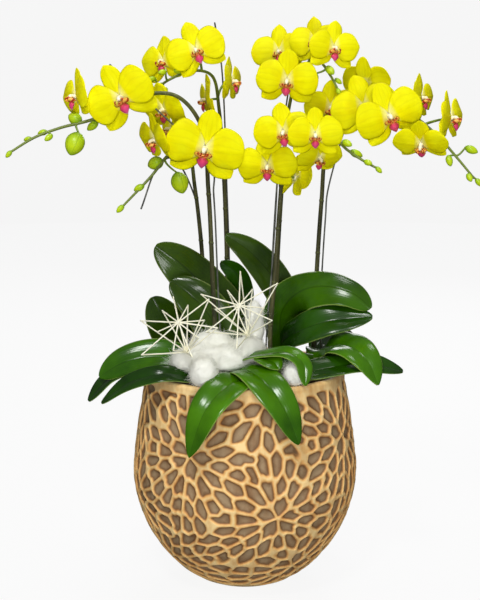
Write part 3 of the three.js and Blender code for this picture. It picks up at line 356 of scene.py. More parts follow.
class Shape:
    """The points and faces of one piece while it is put together, with each face's material and
    each point's place across and along the part that it belongs to."""

    def __init__(self):
        self.points, self.faces, self.kinds = [], [], []
        self.across, self.along = [], []
        self.materials = []
        self.count = 0

    def add(self, points, faces, material, across=0.0, along=0.0):
        if material not in self.materials:
            self.materials.append(material)
        points = np.asarray(points, float).reshape(-1, 3)
        self.points.append(points)
        self.faces.append(np.asarray(faces) + self.count)
        self.kinds.append(np.full(len(faces), self.materials.index(material)))
        self.across.append(np.broadcast_to(np.asarray(across, float).ravel(), (len(points),)))
        self.along.append(np.broadcast_to(np.asarray(along, float).ravel(), (len(points),)))
        self.count += len(points)

    def tube(self, points, radii, sides, material):
        """A closed tube with round ends."""
        points = np.asarray(points, float)
        radii = np.broadcast_to(np.asarray(radii, float), (len(points),))
        ends = np.radians([90, 55, 20])
        tangents = unit(np.gradient(points, axis=0))
        first, last = tangents[0], tangents[-1]
        centres = np.vstack([
            [points[0] - first * radii[0] * math.sin(turn) for turn in ends],
            points,
            [points[-1] + last * radii[-1] * math.sin(turn) for turn in ends[::-1]],
        ])
        rounded = np.concatenate([radii[0] * np.cos(ends), radii, radii[-1] * np.cos(ends[::-1])])
        tangents = np.vstack([[first] * 3, tangents, [last] * 3])
        side = unit(np.cross(first, [0.31, 0.42, 0.85]))
        turns = round_turns(sides)
        rings = []
        for centre, radius, tangent in zip(centres, rounded, tangents):
            side = unit(side - tangent * side.dot(tangent))
            rings.append(circle(centre, radius, side, np.cross(tangent, side), turns))
        shares = np.repeat(np.linspace(0, 1, len(centres)), sides)
        rounds = np.tile(turns / (2 * math.pi), len(centres))
        self.add(np.array(rings), grid_faces(len(rings), sides, True), material, rounds, shares)

    def sheet(self, middle, thickness, materials, across, along):
        """A closed sheet about a grid of middle points: two faces that meet in a thin rim. The
        places across and along it are those of its columns and rows."""
        rows, columns = middle.shape[:2]
        across = np.broadcast_to(across, (rows, columns))
        along = np.broadcast_to(along[:, None], (rows, columns))
        normal = unit(np.cross(np.gradient(middle, axis=1), np.gradient(middle, axis=0)))
        normal[-1] = normal[-3]
        normal[-2] = normal[-3]
        inner = np.abs(np.linspace(-1, 1, columns)) ** 6
        swell = np.sqrt(np.clip(1 - inner, 0, 1))[None, :] * np.ones((rows, 1))
        swell[0] = 0
        swell[-1] = 0
        offset = normal * (swell * thickness / 2)[..., None]
        faces = grid_faces(rows, columns)
        self.add(middle + offset, faces, materials[0], across, along)
        self.add(middle - offset, faces[:, ::-1], materials[1], across, along)

    def finish(self, name, slot, *replaced):
        """The piece as a smooth-shaded object that rides on the part's only body."""
        mesh = bpy.data.meshes.new(name)
        faces = [face for group in self.faces for face in group.tolist()]
        mesh.from_pydata((np.vstack(self.points) * MM).tolist(), [], faces)
        for label, values in (("across", self.across), ("along", self.along)):
            stored = mesh.attributes.new(label, "FLOAT", "POINT")
            stored.data.foreach_set("value", np.concatenate(values).astype(np.float32))
        mesh.polygons.foreach_set("material_index", np.concatenate(self.kinds).astype(np.int32))
        for material in self.materials:
            mesh.materials.append(material)
        editing = bmesh.new()
        editing.from_mesh(mesh)
        bmesh.ops.remove_doubles(editing, verts=editing.verts, dist=JOIN_DISTANCE)
        bmesh.ops.recalc_face_normals(editing, faces=editing.faces)
        editing.to_mesh(mesh)
        editing.free()
        return mounted(name, mesh, slot, *replaced)


def linked(name, data):
    """A new object in the scene."""
    obj = bpy.data.objects.new(name, data)
    bpy.context.scene.collection.objects.link(obj)
    return obj


def mounted(name, mesh, slot, *replaced):
    """A smooth-shaded piece on the part's only body, which stands for the solids it replaces."""
    mesh.shade_smooth()
    obj = linked(name, mesh)
    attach(obj, "root")
    if replaced:
        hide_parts(*replaced)
    return obj


# ---------------- materials


def srgb(code):
    """A screen colour, given as six hexadecimal digits, in linear light."""
    shares = [value / 255 for value in bytes.fromhex(code)]
    return (*[s / 12.92 if s <= 0.04045 else ((s + 0.055) / 1.055) ** 2.4 for s in shares], 1.0)


class Paint:
    """A material and short ways to add nodes to it. Colours are given as six hexadecimal digits."""

    def __init__(self, name, roughness, **sockets):
        self.material = bpy.data.materials.new(name)
        self.material.use_nodes = True
        self.tree = self.material.node_tree
        self.shader = self.tree.nodes["Principled BSDF"]
        self.shader.inputs["Roughness"].default_value = roughness
        for socket, value in sockets.items():
            self.shader.inputs[socket.replace("_", " ")].default_value = value

    def node(self, kind, inputs=None, output=0, **settings):
        """A new node's output socket."""
        made = self.tree.nodes.new(f"ShaderNode{kind}")
        for name, value in settings.items():
            setattr(made, name, value)
        for name, value in (inputs or {}).items():
            if isinstance(value, bpy.types.NodeSocket):
                self.tree.links.new(value, made.inputs[name])
            else:
                made.inputs[name].default_value = srgb(value) if isinstance(value, str) else value
        return made.outputs[output]

    def attribute(self, name):
        return self.node("Attribute", output="Fac", attribute_name=name)

    def noise(self, scale, detail=3.0, stretch=(1, 1, 1)):
        spot = self.node("TexCoord", output="Object")
        spot = self.node("Mapping", {"Vector": spot, "Scale": stretch})
        return self.node("TexNoise", {"Vector": spot, "Scale": scale, "Detail": detail}, output="Fac")

    def math(self, operation, first, second=0.0, third=0.0):
        return self.node("Math", {0: first, 1: second, 2: third}, operation=operation)

    def scaled(self, value, factor, shift):
        return self.math("MULTIPLY_ADD", value, factor, shift)

    def ramp(self, value, stops):
        made = self.tree.nodes.new("ShaderNodeValToRGB")
        elements = made.color_ramp.elements
        while len(elements) < len(stops):
            elements.new(0.5)
        for element, (position, colour) in zip(elements, stops):
            element.position = position
            element.color = srgb(colour)
        self.tree.links.new(value, made.inputs["Fac"])
        return made.outputs["Color"]

    def mix(self, share, first, second, blend="MIX"):
        inputs = {0: share, 6: first, 7: second}
        return self.node("Mix", inputs, output=2, data_type="RGBA", blend_type=blend)

    def colour(self, socket):
        self.tree.links.new(socket, self.shader.inputs["Base Color"])

    def roughness(self, socket):
        self.tree.links.new(socket, self.shader.inputs["Roughness"])

    def bump(self, height, distance, strength=1.0):
        bump = self.node("Bump", {"Height": height, "Distance": distance, "Strength": strength}, "Normal")
        self.tree.links.new(bump, self.shader.inputs["Normal"])


def pot_paint():
    """Golden tan ridges over darker hollows, under a worn glaze."""
    paint = Paint("carved_glaze", 0.5, **{"Specular_IOR_Level": 0.35})
    depth = paint.attribute("along")
    grain = paint.noise(240, 6)
    blotch = paint.noise(26, 4)
    streak = paint.noise(90, 5, (1, 1, 0.35))
    spread = paint.scaled(grain, 0.22, -0.11)
    spread = paint.math("ADD", spread, paint.scaled(blotch, 0.24, -0.12))
    shaded = paint.math("ADD", depth, spread)
    ramp = paint.ramp(shaded, [
        (0.0, "ffde9e"), (0.12, "fcd088"), (0.32, "eeb872"),
        (0.52, "ac7e4e"), (0.72, "7c6042"), (0.98, "a68e6e"),
    ])
    patina = paint.ramp(streak, [(0.4, "ffffff"), (0.72, "ceac8a")])
    paint.colour(paint.mix(0.6, ramp, patina, "MULTIPLY"))
    paint.roughness(paint.scaled(depth, 0.15, 0.42))
    paint.bump(grain, 0.0005, 0.4)
    return paint.material


def plain_paint(name, roughness, dark, light, scale, bump=0.0002, **sockets):
    """Two tones mixed by a fine noise."""
    paint = Paint(name, roughness, **sockets)
    grain = paint.noise(scale, 5)
    paint.colour(paint.ramp(grain, [(0.3, dark), (0.7, light)]))
    paint.bump(grain, bump, 0.5)
    return paint.material


def leaf_paint(name, deep, fresh, edge, roughness):
    """Mottled green with painted shade darkening the midrib groove, faint long veins and a pale thin
    edge.
    """
    paint = Paint(name, roughness, **{"Specular_IOR_Level": 0.32})
    across = paint.attribute("across")
    away = paint.math("ABSOLUTE", across)
    mottled = paint.noise(16, 4)
    body = paint.ramp(mottled, [(0.34, deep), (0.66, fresh)])
    veins = paint.math("SINE", paint.math("MULTIPLY", across, 46.0))
    body = paint.mix(paint.scaled(veins, 0.05, 0.05), body, fresh)
    # Painted shade: the midrib groove is darkened in the colour.
    midrib_shade = paint.ramp(away, [(0.0, "6e6e6e"), (0.05, "ffffff")])
    body = paint.mix(0.5, body, midrib_shade, "MULTIPLY")
    rim = paint.ramp(away, [(0.93, "000000"), (0.985, "dcdcdc")])
    paint.colour(paint.mix(rim, body, edge))
    paint.roughness(paint.scaled(mottled, 0.16, roughness - 0.08))
    paint.bump(paint.scaled(veins, 0.05, mottled), 0.0008, 0.3)
    return paint.material


def petal_paint():
    """Clear yellow in slightly varied shades, with a cream heart and fine veins that fan out, darker
    partly as their own colour and partly as painted shade in their creases.
    """
    paint = Paint("petal_yellow", 0.6, **{
        "Specular_IOR_Level": 0.12, "Subsurface_Weight": 0.35, "Subsurface_Scale": 0.006,
        "Subsurface_Radius": (1, 1, 0.3),
    })
    along = paint.attribute("along")
    across = paint.attribute("across")
    cloud = paint.noise(48, 3)
    body = paint.ramp(cloud, [(0.3, "f2e400"), (0.5, "faf202"), (0.72, "fffb12")])
    wander = paint.scaled(cloud, 9.0, paint.math("MULTIPLY", across, 17.0))
    fan = paint.scaled(paint.math("SINE", wander), 0.5, 0.5)
    # The veins' darker yellow is partly their own colour and partly painted shade in the creases that the
    # bump makes along them.
    vein_and_crease_shade = paint.math("MULTIPLY", paint.math("POWER", fan, 6.0), 0.14)
    body = paint.mix(vein_and_crease_shade, body, "cec400")
    heart = paint.ramp(along, [
        (0.0, "ffffff"), (0.07, "bebebe"), (0.24, "000000"),
    ])
    paint.colour(paint.mix(heart, body, "faf6ce"))
    paint.bump(paint.scaled(fan, -0.15, cloud), 0.0006, 0.3)
    return paint.material


def lip_lobe_paint():
    """Orange-yellow side lobes barred with red-brown."""
    paint = Paint("lip_striped", 0.4)
    along = paint.attribute("along")
    across = paint.attribute("across")
    bars = paint.math("SINE", paint.scaled(along, 16.0, 1.0))
    stripe = paint.ramp(bars, [(0.35, "f5be5a"), (0.62, "b02c1e")])
    tone = paint.noise(300, 3)
    worn = paint.ramp(tone, [(0.35, "ffebc8"), (0.7, "ffffff")])
    edge = paint.ramp(paint.math("ABSOLUTE", across), [(0.5, "ffffff"), (0.95, "f0966e")])
    body = paint.mix(0.6, stripe, worn, "MULTIPLY")
    paint.colour(paint.mix(0.5, body, edge, "MULTIPLY"))
    paint.bump(tone, 0.0003, 0.3)
    return paint.material


def lip_front_paint():
    """The front lobe: orange at its neck, then magenta pink, paler at the edge."""
    paint = Paint("lip_magenta", 0.38)
    along = paint.attribute("along")
    tone = paint.noise(240, 3)
    moved = paint.scaled(tone, 0.16, paint.math("ADD", along, -0.08))
    paint.colour(paint.ramp(moved, [
        (0.0, "facd6e"), (0.3, "e46446"), (0.45, "de3c64"),
        (0.8, "e04c88"), (1.0, "fab4cc"),
    ]))
    paint.bump(tone, 0.0003, 0.3)
    return paint.material


def stem_paint(name, dark, light):
    """Olive skin with faint long streaks and pale specks."""
    paint = Paint(name, 0.42)
    streak = paint.noise(160, 4, (1, 1, 0.12))
    body = paint.ramp(streak, [(0.3, dark), (0.72, light)])
    green = paint.ramp(paint.attribute("along"), [(0.55, "000000"), (0.95, "ebebeb")])
    body = paint.mix(green, body, "7a8e32")
    specks = paint.ramp(paint.noise(700, 2), [(0.66, "000000"), (0.74, "969696")])
    paint.colour(paint.mix(specks, body, "c4c8a0"))
    paint.bump(streak, 0.0003, 0.3)
    return paint.material


def bud_paint():
    """Lime green, yellower at the tip, with darker seams where the sepals meet."""
    paint = Paint("bud_lime", 0.36)
    along = paint.attribute("along")
    across = paint.attribute("across")
    body = paint.ramp(along, [
        (0.0, "70961a"), (0.3, "a6c816"), (0.75, "c4dc14"),
        (1.0, "a0c41e"),
    ])
    wave = paint.math("COSINE", paint.math("MULTIPLY", across, 6 * math.pi))
    seam = paint.ramp(paint.math("ABSOLUTE", wave), [(0.0, "788c3c"), (0.16, "ffffff")])
    paint.colour(paint.mix(0.55, body, seam, "MULTIPLY"))
    paint.bump(paint.noise(200, 3), 0.0003, 0.3)
    return paint.material


GLAZE = pot_paint()
BARK = plain_paint("bark", 0.9, "322216", "684a2e", 180, 0.001)
FIBRE = plain_paint("white_fibre", 0.95, "e8e8de", "f6f6ee", 90, 0.0008,
                    **{"Specular_IOR_Level": 0.1})
STICK = plain_paint("cream_stick", 0.6, "fef8da", "fffeee", 400)
WIRE = plain_paint("dark_wire", 0.35, "2e302a", "888a84", 60, **{"Metallic": 0.4})
COLUMN = plain_paint("column_cream", 0.4, "faeebe", "fffcec", 300)
LEAF_TOP = leaf_paint("leaf_upper", "244e00", "467c00", "aac460", 0.18)
LEAF_DARKER = leaf_paint("leaf_upper_darker", "1a3a00", "386402", "a0bc5a", 0.18)
# A darker copy of the upper leaf green: painted shade for leaves that lie in the shade of others.
LEAF_SHADED = leaf_paint("leaf_upper_painted_shade", "0e2c00", "265202", "96b45a", 0.2)
LEAF_OLD = leaf_paint("leaf_upper_old", "1c3204", "3a560c", "96aa5a", 0.18)
LEAF_UNDER = leaf_paint("leaf_under", "284c08", "467218", "a0b860", 0.34)
PETAL = petal_paint()
LIP_LOBE = lip_lobe_paint()
LIP_FRONT = lip_front_paint()
STEM = stem_paint("stem_olive", "282a16", "5c5a34")
STEM_FRESH = stem_paint("stem_green", "546c1e", "849c38")
BUD = bud_paint()
BRACT = plain_paint("dry_bract", 0.7, "686442", "bab48c", 220)

# ---------------- pot

POT_COLUMNS = 860
POT_STEP = 0.98
POT_FOOT = [(0.01, 0), (30, 0), (49, 0), (53, 0.6)]
POT_RIM = [
    (118.6, 250), (118.9, 252.5), (118.6, 255), (117.3, 256.6), (115.2, 257), (112.6, 256.8),
    (110.4, 255.4), (109.4, 252.5), (109.5, 246),
]
INSIDE_HEIGHTS = (235, 215, 175, 125, 80, 45)
FLOOR_RADIUS = 58
# How dark the plain stretches are, on the scale of the carved depth.
FOOT_SHADE = 0.1
RIM_SHADE = 0.05
INSIDE_SHADE = 0.7
NET_DEPTH = 3.8
NET_FADE = 4
NET_RINGS = 4
NET_RING_START = 17
NET_RING_STEP = 22
NET_FIRST_COUNT = 9
NET_PITCH = 16
NET_SPACING = 12.5
NET_WOBBLE = 1.2
NET_SEED = 7
# The hollows' soft edges: the blur and its reach in grid steps, and half a hollow's length and width.
NET_BLUR = 1.0
BLUR_REACH = 5
HOLLOW_HALF = (19.8, 10.9)

outline = curve_through(POT_OUTLINE, 600, 0)
outline_lengths = lengths_along(outline)


def length_at(height):
    """How far up the outline a height lies, measured along the skin."""
    return float(np.interp(height, outline[:, 1], outline_lengths))


def radius_at(length):
    """The pot's radius that far up its outline."""
    return np.interp(length, outline_lengths, outline[:, 0])


def wrapped(angle):
    """The same angle between minus half a turn and half a turn."""
    return angle - 2 * math.pi * np.round(angle / (2 * math.pi))


def repeatable(seed):
    """Repeatable random numbers from 0 to 1."""
    state = seed
    while True:
        state = (state * 1664525 + 1013904223) % 2**32
        yield state / 2**32


def apart(one, other):
    """The distance between two hollows on the pot's skin."""
    radius = radius_at((one[1] + other[1]) / 2)
    return math.hypot(wrapped(one[0] - other[0]) * radius, one[1] - other[1])


def hollows():
    """The carved hollows as (angle, length, turn), in staggered rings about each flower's centre."""
    draws = repeatable(NET_SEED)
    flowers = [(math.radians(degrees), length_at(height)) for degrees, height in NET_FLOWERS]
    low, high = length_at(NET_LOW) + NET_SPACING / 3, length_at(NET_HIGH) - NET_SPACING / 3
    found = []
    for flower in flowers:
        for ring in range(NET_RINGS):
            reach = NET_RING_START + ring * NET_RING_STEP
            count = max(NET_FIRST_COUNT, math.floor(2 * math.pi * reach / NET_PITCH + 0.5))
            for i in range(count):
                turn = (i + ring % 2 / 2) / count * 2 * math.pi + (next(draws) - 0.5) * NET_WOBBLE / reach
                length = flower[1] + reach * math.sin(turn) + (next(draws) - 0.5) * NET_WOBBLE
                if not low <= length <= high:
                    continue
                spot = (flower[0] + reach * math.cos(turn) / radius_at(length), length)
                own = apart(flower, spot) - 1
                nearer = any(apart(other, spot) < own for other in flowers)
                if not nearer and all(apart(other, spot) >= NET_SPACING for other in found):
                    found.append((*spot, turn))
    return found


def blurred(values):
    """Values smoothed over a grid whose rows close on themselves."""
    steps = np.arange(-BLUR_REACH, BLUR_REACH + 1)
    weights = np.exp(-0.5 * (steps / NET_BLUR) ** 2)
    weights = weights / weights.sum()
    around = sum(weight * np.roll(values, step, axis=1) for weight, step in zip(weights, steps))
    padded = np.pad(around, ((BLUR_REACH, BLUR_REACH), (0, 0)), mode="edge")
    starts = steps + BLUR_REACH
    return sum(weight * padded[start:start + len(values)] for weight, start in zip(weights, starts))


def carved_depth(angles, lengths):
    """How deep the pot's skin is carved at each point of a grid, from 0 on a ridge to 1."""
    nearest = np.full((len(lengths), len(angles)), 9.0)
    second = nearest.copy()
    radii = radius_at(lengths)
    half_long, half_wide = HOLLOW_HALF
    reach = 2.0 * half_long
    rng = random.Random(NET_SEED)
    for angle, length, turn in hollows():
        size = rng.uniform(0.92, 1.08)
        rows = np.flatnonzero(np.abs(lengths - length) < reach)
        columns = np.flatnonzero(np.abs(wrapped(angles - angle)) < reach / radius_at(length))
        window = np.ix_(rows, columns)
        x = wrapped(angles[columns] - angle)[None, :] * radii[rows][:, None]
        y = (lengths[rows] - length)[:, None]
        out = (x * math.cos(turn) + y * math.sin(turn)) / (half_long * size)
        aside = (y * math.cos(turn) - x * math.sin(turn)) / (half_wide * size)
        value = np.abs(aside) + out**2
        old = nearest[window]
        second[window] = np.minimum(second[window], np.maximum(old, value))
        nearest[window] = np.minimum(old, value)
    # A hollow ends at its own outline or, where that comes first, at the ridge before its neighbour.
    inside = blurred(np.clip(np.minimum(1.04 - nearest, 0.75 * (second - nearest)), -0.1, 1.2))
    # Its walls are steep, and its floor sinks a little further towards the middle.
    return 0.8 * smoothstep(0.03, 0.52, inside) + 0.2 * smoothstep(0.4, 0.95, inside)


def build_pot():
    """One closed skin, from the foot up the carved outside, over the rim and down to the floor."""
    angles = np.linspace(-math.pi, math.pi, POT_COLUMNS, endpoint=False)
    low, high = length_at(NET_LOW), length_at(NET_HIGH)
    lengths = np.linspace(low, high, round((high - low) / POT_STEP))
    heights = np.interp(lengths, outline_lengths, outline[:, 1])
    depth = carved_depth(angles, lengths)
    fade = smoothstep(low, low + NET_FADE, lengths) * (1 - smoothstep(high - NET_FADE, high, lengths))
    depth = depth * fade[:, None]
    slopes = unit(np.stack([np.gradient(radius_at(lengths)), np.gradient(heights)], 1))
    sunk_radius = radius_at(lengths)[:, None] - slopes[:, 1:] * depth * NET_DEPTH
    sunk_height = heights[:, None] + slopes[:, :1] * depth * NET_DEPTH
    inside = [(radius_at(length_at(height)) - POT_WALL, height) for height in INSIDE_HEIGHTS]
    inside += [(FLOOR_RADIUS, POT_FLOOR), (0.01, POT_FLOOR)]
    foot, rim, inner = (
        np.array([(radius, height, shade) for radius, height in profile], float)
        for profile, shade in ((POT_FOOT, FOOT_SHADE), (POT_RIM, RIM_SHADE), (inside, INSIDE_SHADE))
    )

    def stacked(column, carved):
        """A value for every point: the net's own, and the same all round on the plain stretches."""
        plain = [part[:, column:column + 1] * np.ones((1, POT_COLUMNS)) for part in (foot, rim, inner)]
        return np.vstack([plain[0], carved, *plain[1:]])

    radii = stacked(0, sunk_radius)
    levels = stacked(1, sunk_height)
    points = np.stack([radii * np.sin(angles), -radii * np.cos(angles), levels], -1)
    shape = Shape()
    shape.add(points, grid_faces(*radii.shape, closed=True), GLAZE, 0.0, stacked(2, depth))
    shape.finish("pot_carved", "glaze", "pot")


# ---------------- growing medium and fibre

CHIP_COUNT = 420
# How far from the pot's axis chips lie, and how far they keep from the middle of a crown.
CHIP_REACH = 106
CROWN_CLEARANCE = 15
CHIP_SEED = 11


def build_medium():
    """Bark chips heaped over the filling, round the crowns."""
    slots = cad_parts["growing_medium"].data.materials
    slots.clear()
    slots.append(BARK)
    rng = random.Random(CHIP_SEED)
    shape = Shape()
    crowns = [plant["crown"] for plant in PLANTS.values()]
    ball = bmesh.new()
    bmesh.ops.create_icosphere(ball, subdivisions=1, radius=1)
    ball_points = np.array([vertex.co for vertex in ball.verts])
    ball_faces = np.array([[vertex.index for vertex in face.verts] for face in ball.faces])
    ball.free()
    placed = 0
    while placed < CHIP_COUNT:
        reach, turn = CHIP_REACH * math.sqrt(rng.random()), rng.uniform(0, 2 * math.pi)
        x, y = reach * math.cos(turn), reach * math.sin(turn)
        if any(math.dist((x, y), crown) < CROWN_CLEARANCE for crown in crowns):
            continue
        size = np.array([rng.uniform(4, 8), rng.uniform(3, 5), rng.uniform(1.2, 2.4)])
        jitter = np.array([[rng.uniform(0.75, 1.15) for _ in range(3)] for _ in ball_points])
        chip = ball_points * jitter * size
        lean, spin = rng.uniform(-0.35, 0.35), rng.uniform(0, math.pi)
        cos, sin = math.cos(lean), math.sin(lean)
        tilt = np.array([[cos, 0, sin], [0, 1, 0], [-sin, 0, cos]])
        cos, sin = math.cos(spin), math.sin(spin)
        swing = np.array([[cos, -sin, 0], [sin, cos, 0], [0, 0, 1]])
        ground = MEDIUM_HEIGHT - MEDIUM_DROP * smoothstep(60, 110, reach)
        chip = chip @ (swing @ tilt).T + [x, y, ground + rng.uniform(0, 2)]
        shape.add(chip, ball_faces, BARK)
        placed += 1
    shape.finish("bark_chips", "bark").data.shade_flat()


FIBRE_VOXEL = 1.6
# How far the wadding stands proud of the rounded solid, before its lumps.
FIBRE_PUFF = 1.0
HAIR_STEPS = 6
HAIR_RADIUS = 0.1
HAIR_LENGTHS = (2, 6)


def build_fibre(name, strands, seed):
    """Soft white wadding: the solid rounded off, puffed by noise, with loose hairs."""
    soft = linked(f"{name}_soft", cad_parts[name].data.copy())
    remesh = soft.modifiers.new("even", "REMESH")
    remesh.mode = "VOXEL"
    remesh.voxel_size = FIBRE_VOXEL * MM
    smooth = soft.modifiers.new("soft", "SMOOTH")
    smooth.iterations = 34
    smooth.factor = 0.8
    graph = bpy.context.evaluated_depsgraph_get()
    mesh = bpy.data.meshes.new_from_object(soft.evaluated_get(graph))
    bpy.data.objects.remove(soft)
    count = len(mesh.vertices)
    points, normals = np.zeros(count * 3), np.zeros(count * 3)
    mesh.vertices.foreach_get("co", points)
    mesh.vertices.foreach_get("normal", normals)
    points, normals = points.reshape(-1, 3) / MM, normals.reshape(-1, 3)
    # Broad lumps and finer ones.
    puff = np.array([
        1.6 * noise.noise(tuple(point / 13)) + 0.3 * noise.noise(tuple(point / 4)) for point in points
    ])
    points = points + normals * (puff + FIBRE_PUFF)[:, None]
    mesh.vertices.foreach_set("co", (points * MM).ravel())
    mesh.materials.clear()
    mesh.materials.append(FIBRE)
    mounted(f"{name}_wadding", mesh, "fibre", name)
    rng = np.random.default_rng(seed)
    chosen = rng.choice(count, strands, replace=False)
    heading = unit(normals[chosen] * 0.6 + rng.normal(0, 0.7, (strands, 3)))[:, None]
    bend = rng.normal(0, 0.16, (strands, 1, 3))
    steps = np.linspace(0, 1, HAIR_STEPS)[None, :, None] * rng.uniform(*HAIR_LENGTHS, (strands, 1, 1))
    start = points[chosen] - 0.5 * normals[chosen]
    routes = start[:, None] + heading * steps + bend * steps**2
    side = unit(np.cross(heading, bend))
    other = np.cross(heading, side)
    taper = HAIR_RADIUS * np.sin(np.linspace(0, math.pi, HAIR_STEPS)) ** 0.5
    rings = []
    for turn in round_turns(3):
        rings.append(routes + (side * math.cos(turn) + other * math.sin(turn)) * taper[None, :, None])
    shape = Shape()
    faces = grid_faces(HAIR_STEPS, 3, True)
    faces = (np.arange(strands)[:, None, None] * HAIR_STEPS * 3 + faces).reshape(-1, 4)
    shape.add(np.stack(rings, 2), faces, FIBRE)
    shape.finish(f"{name}_hairs", "fibre")


# ---------------- plants


STEM_POINTS = 160
STEM_SIDES = 12
STALK_SIDES = 8
# A stalk's radius at the stem and at its end, under a bud and under a bloom.
BUD_STALK_RADII = (1.5, 1.1)
STALK_RADII = (1.6, 1.25)
# Where the stem's joints lie, in shares of its length, and how far they may stray.
NODE_SHARES = np.arange(0.14, 0.6, 0.13)
NODE_WANDER = 0.02


def stem_curve(plant, count=400):
    """Points along a plant's stem, from within its crown to its tip."""
    crown = (*plant["crown"], plant["top"] - 12)
    return curve_through([crown, *plant["stem"]], count)


def stem_radius(share):
    """The stem's radius at a share of its length."""
    return STEM_RADIUS + (STEM_TIP_RADIUS - STEM_RADIUS) * share**2


def stalk_root(curve, place, share=None):
    """Where a stalk leaves the stem, as a point and a share of the stem's length: unless it is
    given, a little before the stem's nearest point."""
    if share is None:
        late = int(0.4 * len(curve))
        distances = np.linalg.norm(curve[late:] - place, axis=1)
        nearest = late + int(distances.argmin())
        share = nearest / (len(curve) - 1) - 0.4 * distances.min() / lengths_along(curve)[-1]
    return at_share(curve, share), share


def bezier(first, middle, last, count=14):
    """A curve that leaves the first point towards the middle one and comes to the last from it."""
    t = np.linspace(0, 1, count)[:, None]
    return (1 - t) ** 2 * first + 2 * t * (1 - t) * middle + t**2 * last


# Buds with at least this half length are full and stand off the stem, and smaller ones lie along it.
BIG_BUD = 9
BUD_SIDES = 18
CROWN_SIDES = 20


def add_bud(shape, curve, bud):
    """A stalk that swells into a bud of three lobes."""
    middle, half = np.array(bud[:3], float), bud[3]
    root, share = stalk_root(curve, middle)
    forward = unit(at_share(curve, min(share + 0.02, 1)) - at_share(curve, share - 0.02))
    axis = unit(unit(middle - root) + forward * (1.5 if half < BIG_BUD else 0.3))
    start = middle - axis * half
    stalk = bezier(root, root + forward * 0.35 * np.linalg.norm(start - root), start + axis)
    shape.tube(stalk, np.linspace(*BUD_STALK_RADII, len(stalk)), STALK_SIDES, STEM_FRESH)
    side = unit(np.cross(axis, [0.3, -0.9, 0.2]))
    other = np.cross(axis, side)
    turns = round_turns(BUD_SIDES)
    shares = (1 - np.cos(np.linspace(0, math.pi, 15))) / 2
    profile = (0.56 if half < BIG_BUD else 0.76) * np.sin(math.pi * shares**0.9) ** 0.6
    lobes = 1 + 0.035 * np.abs(np.cos(1.5 * turns))[:, None]
    rings = [
        circle(middle + axis * (2 * share - 1) * half, half * width * lobes, side, other, turns)
        for share, width in zip(shares, profile)
    ]
    across = np.tile(turns / (2 * math.pi), len(rings))
    faces = grid_faces(len(rings), BUD_SIDES, True)
    shape.add(np.array(rings), faces, BUD, across, np.repeat(shares, BUD_SIDES))


def add_node_mark(shape, curve, share):
    """A joint of the stem: a slight collar under a small dry bract."""
    place, ahead = at_share(curve, share), at_share(curve, min(share + 0.01, 1))
    along = unit(ahead - place)
    radius = stem_radius(share)
    collar = np.array([place + along * step for step in (-1.6, -0.6, 0.4, 1.4)])
    shape.tube(collar, radius * np.array([1.0, 1.1, 1.16, 1.02]), STEM_SIDES, STEM)
    side = unit(np.cross(along, [0.2, 1, 0.1]))
    bract = np.array([place + along * step + side * radius * 0.62 for step in (-0.6, 0.8, 2.4, 4.2)])
    shape.tube(bract, [1.2, 1.5, 1.2, 0.5], STALK_SIDES, BRACT)


def add_crown(shape, plant):
    """Short overlapping leaf sheaths round the foot of the stem."""
    x, y = plant["crown"]
    top = plant["top"]
    levels = [CROWN_FOOT, 225, 240, 247, 248, 255, 256, top - 8, top - 7, top - 2, top]
    radii = [6.8, 7.2, 7.4, 7.5, 6.9, 7.4, 6.6, 7.0, 5.6, 4.4, 2.9]
    turns = round_turns(CROWN_SIDES)
    rings = [
        circle((x, y, level), radius, RIGHT, BACK, turns)
        for level, radius in zip([CROWN_FOOT, *levels, top], [0.01, *radii, 0.01])
    ]
    shape.add(np.array(rings), grid_faces(len(rings), CROWN_SIDES, True), STEM_FRESH)


def build_plant(name):
    """A plant's crown, stem, buds, bracts and the stalks of its blooms."""
    plant = PLANTS[name]
    curve = stem_curve(plant)
    rng = random.Random(name)
    shape = Shape()
    add_crown(shape, plant)
    radii = stem_radius(np.linspace(0, 1, STEM_POINTS))
    shape.tube(evenly(curve, STEM_POINTS), radii, STEM_SIDES, STEM)
    for bud in plant["buds"]:
        add_bud(shape, curve, bud)
    for share in NODE_SHARES:
        add_node_mark(shape, curve, share + rng.uniform(-NODE_WANDER, NODE_WANDER))
    for bloom, (owner, at, look, span) in BLOOMS.items():
        if owner != name:
            continue
        facing = bloom_axes(look)[2]
        seat = np.array(at) - facing * STALK_END * span
        root, _ = stalk_root(curve, seat, STALK_SHARES.get(bloom))
        middle = seat - facing * 0.4 * np.linalg.norm(seat - root)
        stalk = bezier(root, middle, seat)
        shape.tube(stalk, np.linspace(*STALK_RADII, len(stalk)), STALK_SIDES, STEM_FRESH)
    shape.finish(f"{name}_green", "stem", name)


def build_stake(name):
    """The wire beside a plant's stem, which follows it up and then goes its own way."""
    plant = PLANTS[name]
    side, share, end = plant["stake"]
    side = unit(np.array([*side, 0.0]))
    foot = np.array([*plant["crown"], STAKE_FOOT]) + side * (CROWN_RADIUS + 2.5)
    count = 2 * len(plant["stem"]) + 1
    route = stem_curve(plant, count)
    followed = route[2:round(share * count)] + side * STAKE_OFFSET
    foot_top = foot.copy()
    foot_top[2] = plant["top"]
    points = curve_through([foot, foot_top, *followed, *end], 120)
    shape = Shape()
    shape.tube(points, STAKE_RADIUS, STALK_SIDES, WIRE)
    node = name.replace("plant", "stake")
    shape.finish(f"{node}_wire", "wire", node)


# ---------------- leaves


def leaf_half(share, tip):
    """A leaf's width at a share of its length, in shares of its greatest width."""
    rising = 0.42 + 0.58 * np.sin(np.minimum(share / 0.5, 1) * math.pi / 2)
    falling = np.clip(1 - np.clip((share - 0.5) / 0.5, 0, 1) ** 2.2, 0, 1) ** tip
    return rising * falling


